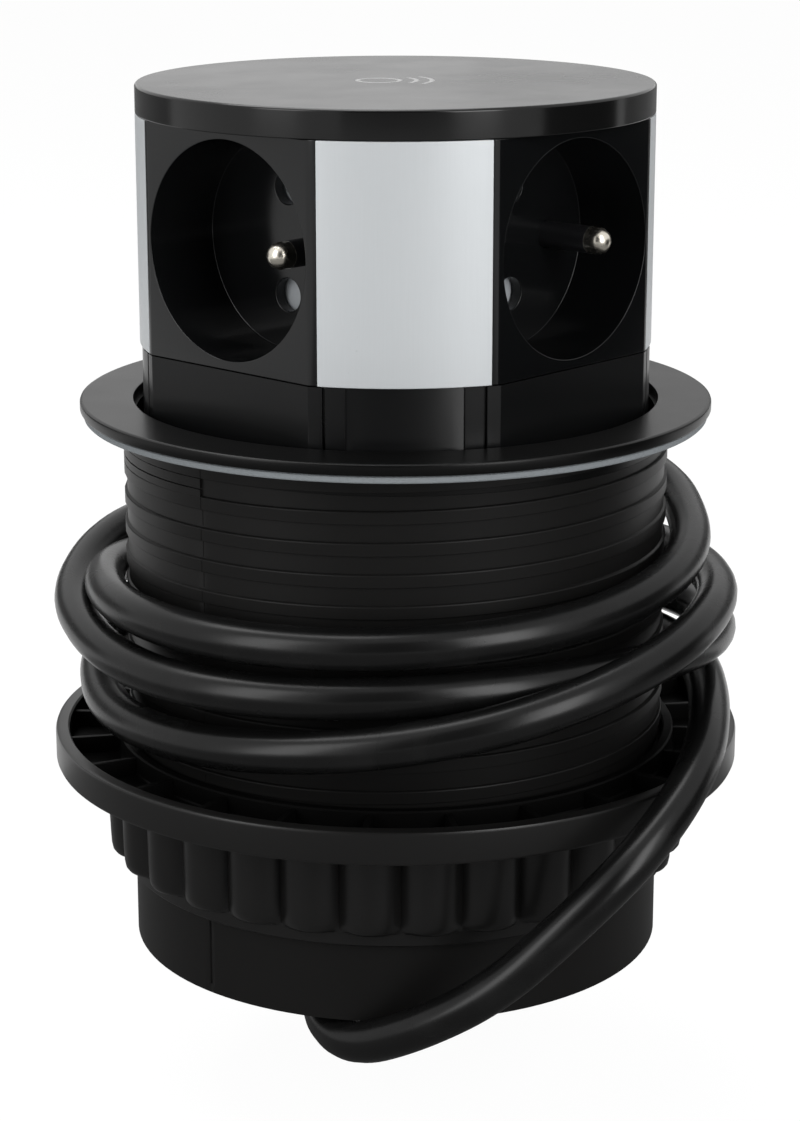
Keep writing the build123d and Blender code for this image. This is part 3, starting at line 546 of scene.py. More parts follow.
GREY_CARD = MouldedPlastic("grey_card", grey(0.2), 1.0, reflect=0.0, scuff=0.0)
SIDE_SILVER = SatinMetal("silver_side_cover", (0.45, 0.468, 0.48), 0.4, reflect=0.25, metal=0.3)
ZINC = PlatedMetal("zinc_steel", (0.55, 0.56, 0.57), 0.3)
NICKEL = PlatedMetal("nickel_plate", (0.76, 0.73, 0.66), 0.2)
BRASS = PlatedMetal("contact_brass", (0.78, 0.58, 0.26), 0.25)
EARTH_TIP = TippedPin("earth_pin_nickel", (0.7, 0.66, 0.58), 0.24)
GASKET_FOAM = FoamRubber("gasket_foam", (0.16, 0.175, 0.185), 0.75)
CORD_SHEATH = CordRubber("cord_rubber", grey(0.0036), 0.27, reflect=0.22)
PLUG_RUBBER = CordRubber("plug_rubber", grey(0.006), 0.4, reflect=0.3)
SUPPLY_BOARD = CircuitBoard("supply_board", (0.03, 0.16, 0.06), 0.3, top=-19.35)
CHARGER_BOARD = CircuitBoard("charger_board", (0.02, 0.13, 0.05), 0.3, top=56.25, under=True)
COIL_COPPER = WoundWire("coil_copper", (0.8, 0.36, 0.16), 0.25)
FERRITE = MouldedPlastic("pressed_ferrite", grey(0.035), 0.6, grain=0.2, depth=0.01)


# Shapes


class Crease(Enum):
    """Where a piece's shading breaks."""

    SOFT = 80.0
    PLAIN = 34.0
    CRISP = 20.0


class Form:
    """A mesh under construction, in millimetres."""

    def __init__(self) -> None:
        """Start with nothing."""
        self.bm = bmesh.new()

    @classmethod
    def of_node(cls, name: str) -> "Form":
        """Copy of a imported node's mesh with its flat faces joined.

        Args:
            name: the CAD node.

        Returns:
            The form.
        """
        form = cls()
        form.bm.from_mesh(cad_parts[name].data)
        bmesh.ops.scale(form.bm, vec=(1 / MM,) * 3, verts=form.bm.verts)
        bmesh.ops.remove_doubles(form.bm, verts=form.bm.verts, dist=MERGE)
        bmesh.ops.dissolve_limit(
            form.bm, angle_limit=radians(0.4), use_dissolve_boundaries=False,
            verts=form.bm.verts, edges=form.bm.edges,
        )
        return form

    def loop(self, points: Iterable[Point]) -> Tuple[List[BMVert], List[BMEdge]]:
        """Closed ring of edges.

        Args:
            points: its corners in order.

        Returns:
            Its vertices and edges.
        """
        ring = [self.bm.verts.new(point) for point in points]
        edges = [self.bm.edges.new(pair) for pair in zip(ring, ring[1:] + ring[:1])]
        return ring, edges

    def lathe(self, outline: Sequence[Tuple[float, float]], steps: int = 160) -> "Form":
        """Turned shape about Z.

        Args:
            outline: closed outline of radius and height.
            steps: number of sides.

        Returns:
            The form.
        """
        ring, edges = self.loop((r, 0.0, z) for r, z in outline)
        bmesh.ops.spin(
            self.bm, geom=ring + edges, cent=(0, 0, 0), axis=(0, 0, 1), angle=2 * pi,
            steps=steps, use_merge=True,
        )
        return self

    def skin(self, rings: Sequence[Sequence[Point]], closed: bool = False) -> "Form":
        """Tube through rings of the same number of corners, by bridging each to the next.

        Args:
            rings: the rings in order.
            closed: whether the last joins the first; otherwise both ends are filled.

        Returns:
            The form.
        """
        loops = [self.loop(ring) for ring in rings]
        pairs = list(zip(loops, loops[1:]))
        if closed:
            pairs.append((loops[-1], loops[0]))
        for (_, first), (_, second) in pairs:
            bmesh.ops.bridge_loops(self.bm, edges=first + second)
        if not closed:
            for ring, _ in (loops[0], loops[-1]):
                self.bm.faces.new(ring)
        return self

    def block(self, low: Point, high: Point, turn: float = 0.0) -> "Form":
        """Box between two corners, turned about Z.

        Args:
            low: lowest corner before the turn.
            high: highest corner before the turn.
            turn: degrees about Z.

        Returns:
            The form.
        """
        low, high = Vector(low), Vector(high)
        middle, size = (low + high) / 2, high - low
        place = Matrix.Rotation(radians(turn), 4, "Z") @ Matrix.Translation(middle)
        bmesh.ops.create_cube(self.bm, size=1.0, matrix=place @ Matrix.Diagonal((*size, 1.0)))
        return self

    def ease(
        self, width: float, sharper: float = 30.0, where: Optional[Callable[[Vector], bool]] = None
    ) -> "Form":
        """Round the sharp edges.

        Args:
            width: width of the rounding in millimetres.
            sharper: least angle between the faces of an edge, in degrees.
            where: test of an edge's middle, or every edge.

        Returns:
            The form.
        """
        chosen = [
            edge for edge in self.bm.edges
            if len(edge.link_faces) == 2
            and edge.calc_face_angle(0.0) > radians(sharper)
            and (where is None or where((edge.verts[0].co + edge.verts[1].co) / 2))
        ]
        bmesh.ops.bevel(
            self.bm, geom=chosen, offset=width, offset_type="OFFSET", segments=2,
            profile=0.5, affect="EDGES", clamp_overlap=True, material=-1,
        )
        return self

    def slot(
        self, turn: float, half: float, low: float, high: float, radius: float, depth: float
    ) -> "Form":
        """Sink an upright slot into a round wall.

        Args:
            turn: its turn in degrees from the front, over the right.
            half: half its width in millimetres.
            low: its lower end.
            high: its upper end.
            radius: the wall's outer radius.
            depth: depth of the slot.

        Returns:
            The form.
        """
        out = Vector(around(turn, 1.0, 0.0))
        side = Vector(around(turn, 0.0, 0.0, 1.0))
        up = Vector((0.0, 0.0, 1.0))
        planes = ((side * half, side), (side * -half, side), (up * low, up), (up * high, up))
        for place, normal in planes:
            wide = [face for face in self.bm.faces if face.calc_center_median().dot(out) > 0.0]
            geometry = {item for face in wide for item in (face, *face.edges, *face.verts)}
            bmesh.ops.bisect_plane(
                self.bm, geom=list(geometry), plane_co=place, plane_no=normal, dist=1e-5
            )
        chosen = [
            face for face in self.bm.faces
            if (middle := face.calc_center_median()).dot(out) > radius - 1.0
            and abs(middle.dot(side)) < half and low < middle.z < high
        ]
        made = bmesh.ops.extrude_face_region(self.bm, geom=chosen)
        moved = [item for item in made["geom"] if isinstance(item, BMVert)]
        bmesh.ops.translate(self.bm, vec=out * -depth, verts=moved)
        bmesh.ops.delete(self.bm, geom=[face for face in chosen if face.is_valid], context="FACES")
        return self

    def part(self, height: float, upper: bool) -> "Form":
        """Keep what lies above a level, or below it, and close the cut.

        Args:
            height: the level in millimetres.
            upper: whether the upper part is kept.

        Returns:
            The form.
        """
        made = bmesh.ops.bisect_plane(
            self.bm, geom=[*self.bm.verts, *self.bm.edges, *self.bm.faces], plane_co=(0, 0, height),
            plane_no=(0, 0, 1), clear_inner=upper, clear_outer=not upper,
        )
        rim = [item for item in made["geom_cut"] if isinstance(item, BMEdge)]
        bmesh.ops.holes_fill(self.bm, edges=rim)
        return self

    def move(self, matrix: Matrix) -> "Form":
        """Place the whole form by a transform in millimetres."""
        bmesh.ops.transform(self.bm, matrix=matrix, verts=self.bm.verts)
        return self

    def add(self, other: "Form") -> "Form":
        """Take another form's mesh in, which ends that form.

        Args:
            other: the form.

        Returns:
            This form.
        """
        mesh = bpy.data.meshes.new("passing")
        other.bm.to_mesh(mesh)
        other.bm.free()
        self.bm.from_mesh(mesh)
        bpy.data.meshes.remove(mesh)
        return self

    def piece(
        self, name: str, body: str, finish: Finish, replaces: Sequence[str] = (),
        slot: str = "black_plastic", crease: Crease = Crease.PLAIN, outward: bool = True,
    ) -> Object:
        """Close the form and make it a piece.

        Args:
            name: the piece's name.
            body: CAD body that it rides on.
            finish: its finish.
            replaces: CAD nodes that it stands for.
            slot: the record's material slot; not used.
            crease: where its shading breaks.
            outward: whether its normals are worked out anew.

        Returns:
            The object.
        """
        bmesh.ops.remove_doubles(self.bm, verts=self.bm.verts, dist=MERGE / 2)
        if outward:
            bmesh.ops.recalc_face_normals(self.bm, faces=self.bm.faces)
        bmesh.ops.scale(self.bm, vec=(MM,) * 3, verts=self.bm.verts)
        mesh = bpy.data.meshes.new(name)
        self.bm.to_mesh(mesh)
        self.bm.free()
        made = added(name, mesh)
        mesh.materials.append(finish.material())
        mesh.shade_smooth()
        mesh.set_sharp_from_angle(angle=radians(crease.value))
        made.modifiers.new("even_normals", "WEIGHTED_NORMAL").keep_sharp = True
        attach(made, body)
        if replaces:
            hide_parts(*replaces)
        LOG.info("%s: %d faces on %s", name, len(mesh.polygons), body)
        return made


def dress(node: str, finish: Finish) -> None:
    """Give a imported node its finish.

    Args:
        node: the CAD node.
        finish: the finish of all its faces.
    """
    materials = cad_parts[node].data.materials
    materials.clear()
    materials.append(finish.material())
    LOG.info("%s dressed in %s", node, finish.name)


def repaint(piece: Object, finish: Finish, where: Callable[[MeshPolygon], bool]) -> None:
    """Give some faces of a piece a second finish.

    Args:
        piece: the piece.
        finish: the second finish.
        where: test of a face.
    """
    piece.data.materials.append(finish.material())
    for face in piece.data.polygons:
        if where(face):
            face.material_index = 1


def around(turn: float, radius: float, height: float, side: float = 0.0) -> Point:
    """Place on the tower.

    Args:
        turn: degrees from the front, over the right.
        radius: distance from the axis.
        height: height over the worktop.
        side: shift to the right as seen from outside.

    Returns:
        The point in millimetres.
    """
    a = radians(turn)
    return (radius * sin(a) + side * cos(a), -radius * cos(a) + side * sin(a), height)


def outside(radius: float) -> Callable[[Vector], bool]:
    """Test whether a point lies further from the axis than a radius."""
    return lambda point: hypot(point.x, point.y) > radius


def metres(point: Point) -> Point:
    """A point in metres from one in millimetres."""
    return tuple(part * MM for part in point)


# Camera and studio


def added(
    name: str, data: ID, place: Point = (0.0, 0.0, 0.0), aim: Point = (0.0, 0.0, -1.0)
) -> Object:
    """Put an object into the scene.

    Args:
        name: the object's name.
        data: its mesh, curve, light or camera.
        place: its place in metres.
        aim: way in which its -Z axis looks.

    Returns:
        The object.
    """
    made = bpy.data.objects.new(name, data)
    if place != (0.0, 0.0, 0.0):
        made.location = place
        made.rotation_euler = Vector(aim).to_track_quat("-Z", "Y").to_euler()
    bpy.context.scene.collection.objects.link(made)
    return made


def card(name: str, size: Tuple[float, float], place: Matrix, paint: Material) -> Object:
    """Flat card that isn't part of the object.

    Args:
        name: its name.
        size: its width and height in metres.
        place: its place, from the middle of the XY plane.
        paint: its material.

    Returns:
        The card.
    """
    bm = bmesh.new()
    bmesh.ops.create_grid(bm, x_segments=1, y_segments=1, size=0.5)
    bmesh.ops.scale(bm, vec=(*size, 1.0), verts=bm.verts)
    bmesh.ops.transform(bm, matrix=place, verts=bm.verts)
    mesh = bpy.data.meshes.new(name)
    bm.to_mesh(mesh)
    bm.free()
    mesh.materials.append(paint)
    made = added(name, mesh)
    made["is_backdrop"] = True
    return made


@dataclass(frozen=True)
class Viewpoint:
    """The photographer's camera."""

    place: Point = (-18.09, -523.62, 114.88)  # its place
    aim: Point = (0.0348, 0.9637, -0.2648)  # the way in which it looks
    lens: float = 92.54  # focal length in millimetres for a long side of 36 mm

    def set_up(self) -> None:
        """Make the scene's camera."""
        data = bpy.data.cameras.new("camera")
        data.sensor_width = 36.0
        data.lens = self.lens
        data.clip_start, data.clip_end = 0.01, 20.0
        bpy.context.scene.camera = added("camera", data, metres(self.place), self.aim)


@dataclass(frozen=True)
class Lamp:
    """Soft box that looks at the sleeve."""

    name: str
    place: Point  # its place in metres
    size: Tuple[float, float]  # width and height in metres
    power: float  # watts
    aim: Point = (0.0, 0.0, -0.02)  # point that it looks at, in metres

    def hang(self) -> None:
        """Make the lamp."""
        data = bpy.data.lights.new(self.name, "AREA")
        data.shape = "RECTANGLE"
        data.size, data.size_y = self.size
        data.energy = self.power
        added(self.name, data, self.place, tuple(Vector(self.aim) - Vector(self.place)))


@dataclass(frozen=True)
class Flag:
    """Card that only reflections see."""

    name: str
    place: Point  # its middle in metres
    size: Tuple[float, float]  # width and height in metres
    aim: Point  # way in which it faces
    finish: Finish = GREY_CARD  # its paint

    def stand(self) -> None:
        """Make the card."""
        turn = Vector(self.aim).to_track_quat("Z", "Y").to_matrix().to_4x4()
        place = Matrix.Translation(self.place) @ turn
        made = card(self.name, self.size, place, self.finish.material())
        made.visible_camera = made.visible_diffuse = made.visible_shadow = False
        made.visible_transmission = made.visible_volume_scatter = False


@dataclass(frozen=True)
class Studio:
    """Plain pale floor, soft lamps, cards for the reflections and a white surround."""

    floor_gap: float = 0.6  # distance of the floor below the object
    floor_size: float = 6.0  # side of the floor in metres
    floor_glow: float = 1.03  # strength of the floor's own white
    floor_share: float = 0.93  # share of that white where the floor is seen
    ambient: float = 0.32  # strength of the world's light on the object
    lamps: Tuple[Lamp, ...] = (  # the soft boxes
        Lamp("left_box", (-0.8, -0.6, 0.4), (0.4, 0.9), 5.2),
        Lamp("right_box", (0.54, -0.84, 0.4), (0.4, 0.9), 8.2),
        Lamp("top_box", (-0.25, 0.25, 1.1), (0.9, 0.9), 13.0),
    )
    flags: Tuple[Flag, ...] = (  # the cards
        Flag("front_flag", (0.1, -1.4, 0.75), (1.5, 1.7), (0.0, 1.0, 0.0), BLACK_CARD),
        Flag("right_flag", (0.42, -0.06, -0.02), (0.34, 0.22), (-1.0, 0.0, 0.0), BLACK_CARD),
        Flag("low_flag", (0.0, -0.33, -0.131), (1.2, 0.95), (0.0, 0.0, 1.0)),
        Flag("back_right_flag", (0.315, 0.459, 0.012), (0.68, 0.175), (-0.65, -0.76, 0.0)),
        Flag("back_left_flag", (-0.36, 0.42, 0.012), (0.56, 0.175), (0.65, -0.76, 0.0)),
    )

    def set_up(self, lowest: float) -> None:
        """Make the floor, the lamps and the world.

        Args:
            lowest: the object's lowest height in metres.
        """
        bpy.context.scene.view_settings.view_transform = "Standard"
        self._floor(lowest - self.floor_gap * MM)
        for lamp in self.lamps:
            lamp.hang()
        for flag in self.flags:
            flag.stand()
        self._world()

    def _floor(self, height: float) -> None:
        """Plane that shows white, and darker only where the object shades it.

        Args:
            height: its height in metres.
        """
        shader = Shader("floor_paper")
        shader.set(Base_Color=grey(0.88), Roughness=0.9, Specular_IOR_Level=0.1)
        glow = {"Color": WHITE, "Strength": self.floor_glow}
        light = shader.node("ShaderNodeEmission", {}, glow).outputs["Emission"]
        inputs = {0: shader.seen() * self.floor_share, 1: shader.surface.outputs["BSDF"], 2: light}
        mixed = shader.node("ShaderNodeMixShader", {}, inputs)
        shader.feed(shader.output.inputs["Surface"], mixed.outputs[0])
        place = Matrix.Translation((0.0, 0.0, height))
        card("floor", (self.floor_size,) * 2, place, shader.material)

    def _world(self) -> None:
        """White where it is seen, and a plain soft light elsewhere."""
        world = bpy.data.worlds.new("surround")
        bpy.context.scene.world = world
        world.use_nodes = True
        nodes = Nodes(world.node_tree)
        dim, white = (
            nodes.node("ShaderNodeBackground", {}, {"Color": WHITE, "Strength": power}).outputs[0]
            for power in (self.ambient, 1.0)
        )
        mixed = nodes.node("ShaderNodeMixShader", {}, {0: nodes.seen(), 1: dim, 2: white})
        nodes.node("ShaderNodeOutputWorld", {}, {"Surface": mixed.outputs[0]})


# Mains cord


@dataclass
class MainsCord:
    """The cord from the boot under the base, round the sleeve and down to its plug at the back."""

    radius: float = 3.8  # radius of the sheath
    length: float = 1.39  # length of the cord in metres
    lead: Tuple[Point, ...] = (  # route from the boot to the winding
        (-9.6, -13.0, -98.8), (-12.8, -25.4, -101.2), (-15.4, -37.6, -104.2), (-9.6, -49.2, -105.8),
        (2.0, -58.0, -98.6), (14.8, -63.4, -89.4), (27.4, -64.7, -76.9), (40.9, -60.4, -64.9),
        (51.8, -46.4, -55.5), (56.8, -27.0, -50.6),
    )
    first_turn: float = 90.0  # turn at which the winding starts
    turns: float = 1090.0  # degrees that the winding goes round
    winding: Tuple[Tuple[float, float], ...] = (  # radius and height of the winding at even steps
        (57.0, -49.0), (56.1, -49.6), (55.2, -50.0), (54.7, -49.8), (54.9, -48.6), (55.2, -46.4),
        (56.4, -44.2), (56.6, -48.2), (55.5, -52.0), (55.4, -51.4), (56.5, -49.4), (58.9, -46.0),
        (62.5, -40.7), (63.6, -34.7), (61.6, -31.0), (58.3, -31.3), (57.7, -32.5), (58.0, -33.4),
        (58.4, -32.6), (59.6, -31.3), (61.8, -29.3), (63.1, -30.3), (61.7, -36.0), (57.8, -39.0),
        (56.8, -39.9), (55.8, -39.2), (55.0, -38.1), (54.6, -37.8), (56.0, -38.6), (59.4, -40.0),
        (61.4, -42.1), (61.1, -43.5), (59.9, -43.3), (58.2, -42.4), (56.5, -40.5), (55.4, -37.2),
        (54.8, -33.8), (54.7, -31.6), (54.5, -31.0), (54.6, -30.8), (54.8, -30.2), (54.9, -29.4),
        (55.2, -28.2), (55.4, -26.1), (55.2, -23.1), (54.9, -19.8),
    )
    tail: Tuple[Point, ...] = (  # route from the winding to the plug
        (51.9, 22.0, -17.8), (45.5, 37.5, -16.9), (34.5, 51.0, -17.4), (21.5, 62.5, -19.4),
        (9.0, 72.5, -24.6), (0.0, 80.0, -33.4), (-4.2, 84.4, -44.0), (-5.4, 86.0, -56.0),
    )

    def route(self) -> List[Point]:
        """Control points of the whole cord.

        Returns:
            The points in millimetres.
        """
        step = self.turns / (len(self.winding) - 1)
        swell = 8.0 / (6.0 + 2.0 * cos(radians(step)))  # the spline runs inside its points by this
        turns = [
            around(self.first_turn + step * k, radius * swell, height)
            for k, (radius, height) in enumerate(self.winding)
        ]
        return [*self.lead, *turns, *self.tail]

    def build(self, with_pieces: Sequence[Object]) -> None:
        """Args:
            with_pieces: the boot, the plug and its pins; not used.
        """
        data = bpy.data.curves.new("mains_cord", "CURVE")
        data.dimensions = "3D"
        data.bevel_depth = self.radius * MM
        data.bevel_resolution = 8
        data.resolution_u = 10
        data.use_fill_caps = True
        spline = data.splines.new("NURBS")
        points = self.route()
        spline.points.add(len(points) - 1)
        for point, place in zip(spline.points, points):
            point.co = (*(Vector(place) * MM), 1.0)
        spline.order_u = 3
        spline.use_endpoint_u = True
        data.materials.append(CORD_SHEATH.material())
        cord = added("mains_cord", data)
        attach(cord, "housing")
        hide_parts("cord_lead", "cord_winding", "cord_tail")
        LOG.info("mains cord of %d control points", len(points))


@dataclass
class CordBoot:
    """Strain relief that turns the cord to the side under the base."""

    root: Point  # middle of its elbow
    tip: Point  # where the cord leaves it
    rings: int = 5  # number of flexing rings
    neck: float = 5.4  # radius at its thick end
    mouth: float = 4.35  # radius where the cord leaves it
    deep: float = 6.0  # depth of its base below the elbow's middle
    seat: float = -90.2  # height of the base's flange in the cap
    root_end: float = 5.0  # length of the plain end at its root
    tip_end: float = 1.2  # length of the plain end at its tip

    def build(self) -> Object:
        """Make the boot: a base under the cap, an elbow and a tapered, ringed sleeve.

        Returns:
            The boot.
        """
        root, tip = Vector(self.root), Vector(self.tip)
        length = (tip - root).length
        start, stop = self.root_end, length - self.tip_end
        pitch = (stop - start) / self.rings
        outline = [(0.0, 0.0), (self.neck - 1.0, 0.0), (self.neck, 1.0)]
        for k in range(self.rings):
            crest = self.neck + (self.mouth - self.neck) * k / self.rings
            groove, at = crest - 0.7, start + pitch * k
            outline += [
                (crest, at), (groove, at + 0.15), (groove, at + pitch * 0.42),
                (crest - 0.1, at + pitch * 0.55),
            ]
        outline += [
            (self.mouth + 0.05, stop), (self.mouth, length - 0.3), (self.mouth - 0.35, length),
            (0.0, length),
        ]
        turn = (tip - root).to_track_quat("Z", "Y").to_matrix().to_4x4()
        form = Form().lathe(outline, steps=48).move(Matrix.Translation(root) @ turn)
        low, seat = root.z - self.deep, self.seat
        outline = [
            (0.0, low), (4.6, low), (5.9, low + 0.8), (6.4, low + 2.2), (6.4, seat - 0.5),
            (6.8, seat), (0.0, seat),
        ]
        base = Form().lathe(outline, steps=64)
        form.add(base.move(Matrix.Translation((root.x, root.y, 0.0))))
        return form.piece("cord_relief", "housing", PLUG_RUBBER, ["cord_boot"], "cord_black")


@dataclass
class MainsPlug:
    """Round moulded plug that hangs behind the sleeve."""

    end: Point  # end of the cord, where the relief begins
    before: Point  # control point before it, which gives the plug's direction
    relief: float = 20.0  # length of the relief
    rings: int = 6  # number of its rings
    pitch: float = 2.7  # distance between them
    length: float = 36.0  # length of the body
    radius: float = 18.4  # radius of the body
    spacing: float = 19.0  # distance between the pins
    hollow: float = 0.16  # share by which a finger hollow narrows the body
    hold: Tuple[float, float] = (4.0, 20.0)  # where the hollows begin and end behind the relief

    def place(self) -> Matrix:
        """Frame of the plug: Z along the cord, Y through its pins.

        Returns:
            The transform in millimetres.
        """
        z = (Vector(self.end) - Vector(self.before)).normalized()
        x = (Vector((1.0, 0.0, 0.0)) - z * z.x).normalized()
        y = z.cross(x)
        turn = Matrix((x, y, z)).transposed().to_4x4()
        return Matrix.Translation(Vector(self.end)) @ turn

    def build(self) -> List[Object]:
        """Make the plug and return the pieces that go with the cord."""
        return [self.body(), self.pins(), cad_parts["plug_earth_strips"]]

    def body(self) -> Object:
        """Relief with rings, shoulder and finger hollows.

        Returns:
            The plug's body.
        """
        shoulder, face = self.relief, self.relief + self.length
        outline = [(0.0, 0.0), (4.2, 0.0), (4.4, 0.6)]
        for k in range(self.rings):
            at, crest = 1.6 + k * self.pitch, 4.5 + 0.26 * k
            groove = crest - 0.6
            outline += [
                (crest, at), (crest + 0.05, at + 1.5), (groove, at + 1.6), (groove, at + 2.4),
            ]
        outline += [
            (radius, shoulder + height)
            for radius, height in (
                (6.2, -1.6), (7.2, -0.6), (9.6, 0.9), (11.0, 3.0), (12.4, 8.0), (14.2, 14.0),
                (16.6, 19.0), (18.0, 21.6), (self.radius, 23.2),
            )
        ]
        outline += [
            (self.radius, face - 1.0), (self.radius - 0.3, face - 0.3), (self.radius - 1.0, face),
            (0.0, face),
        ]
        form = Form().lathe(outline, steps=96)
        low, high = self.hold
        for vertex in form.bm.verts:
            along = (vertex.co.z - shoulder - low) / (high - low)
            if 0.0 < along < 1.0 and abs(vertex.co.y) > 6.0:
                vertex.co.y *= 1.0 - self.hollow * sin(pi * along)
        form.move(self.place())
        return form.piece("mains_plug", "housing", PLUG_RUBBER, ["plug_body"], "cord_black")

    def pins(self) -> Object:
        """Two pins with rounded ends.

        Returns:
            The piece of both.
        """
        outline = [
            (0.0, -7.0), (1.9, -7.0), (1.9, 0.0), (2.4, 0.02), (2.4, 17.4), (2.2, 18.2),
            (1.7, 18.75), (0.9, 19.0), (0.0, 19.02),
        ]
        form = Form()
        for side in (-1, 1):
            place = (0.0, side * self.spacing / 2, self.relief + self.length)
            form.add(Form().lathe(outline, steps=40).move(Matrix.Translation(place)))
        form.move(self.place())
        return form.piece("mains_pins", "housing", NICKEL, ["plug_pins"], "nickel")


# Housing in the worktop


@dataclass
class ThreadedSleeve:
    """The sleeve's raised thread, its mould seam and the split in its foot."""

    radius: float = 50.0  # radius of the plain sleeve
    proud: float = 0.5  # height of the thread's ridge
    lead: float = 5.6  # rise of the thread in one turn
    crest: float = 2.35  # width of the ridge
    dark_at: float = -3.75  # height of the ridge's highest lower edge at the reference turn
    reference: float = -30.0  # that turn
    top: float = -0.04  # height at which the gasket cuts the thread
    bottom: float = -84.0  # lower end of the thread
    step: float = 5.0  # degrees between its sections
    seam: float = -44.3  # turn of the mould's seam
    slot_half: float = 0.28  # half the width of the slot in the foot
    slot_low: float = -98.9  # its lower end
    slot_high: float = -86.0  # its upper end

    def base(self, turn: float) -> float:
        """Height of the ridge's lower edge at a turn, counted on past 360 for the coils above."""
        return self.dark_at + self.lead * (turn - self.reference) / 360.0

    def ridge(self) -> List[List[Point]]:
        """Sections of the ridge from its lower end to where the gasket cuts it.

        Returns:
            The sections, from below.
        """
        low_turn, high_turn = (
            self.reference + 360.0 * (height - self.dark_at) / self.lead
            for height in (self.bottom, self.top - 0.5)
        )
        count = int((high_turn - low_turn) / self.step)
        root = self.radius - 0.25
        sections = []
        for k in range(count + 1):
            turn = low_turn + (high_turn - low_turn) * k / count
            base = self.base(turn)
            out = self.radius + self.proud * min(1.0, k / 4.0)
            profile = [
                (root, base), (out - 0.06, base), (out, base + 0.08),
                (out, base + self.crest - 0.3), (out - 0.1, base + self.crest - 0.12),
                (root, base + self.crest + 0.25),
            ]
            sections.append([around(turn, r, min(z, self.top)) for r, z in profile])
        return sections

    def run_out(self) -> Form:
        """Raised lands left of the seam, with a fine groove between them, where the mould opens.

        Returns:
            The form.
        """
        form = Form()
        out = self.radius + self.proud - 0.03
        for low, high in ((-3.35, -2.05), (-1.8, -0.1)):
            rings = []
            for turn in (self.seam - 0.1 - 6.0 * k for k in range(15)):
                profile = ((out - 0.6, low), (out, low), (out, high), (out - 0.6, high))
                rings.append([around(turn, r, self.base(turn) + z) for r, z in profile])
            form.skin(rings)
        return form

    def flash(self) -> Form:
        """Fine raised line along the mould's seam, over crests and roots.

        Returns:
            The form.
        """
        form = Form()
        for edge in (self.base(self.seam) - self.lead * k for k in range(15)):
            for out, low, high in (
                (self.proud, edge + 0.1, edge + self.crest - 0.2),
                (0.0, edge + self.crest - self.lead + 0.3, edge - 0.1),
            ):
                outer = self.radius + out + 0.05
                profile = ((outer - 0.3, -0.09), (outer, -0.05), (outer, 0.05), (outer - 0.3, 0.09))
                ends = (low, min(high, self.top))
                form.skin([[around(self.seam, r, z, side) for r, side in profile] for z in ends])
        return form

    def build(self) -> None:
        """Make the sleeve with its slot, the ridge, the run-out and the seam."""
        sleeve = Form.of_node("threaded_sleeve")
        sleeve.slot(
            self.seam, self.slot_half, self.slot_low, self.slot_high, self.radius, depth=1.2
        )
        sleeve.piece("sleeve", "housing", HOUSING_PLASTIC, ["threaded_sleeve"])
        for form, name, crease in (
            (Form().skin(self.ridge()), "thread", Crease.CRISP),
            (self.run_out(), "thread_run_out", Crease.PLAIN),
            (self.flash(), "mould_seam", Crease.PLAIN),
        ):
            form.piece(name, "housing", HOUSING_PLASTIC, crease=crease)


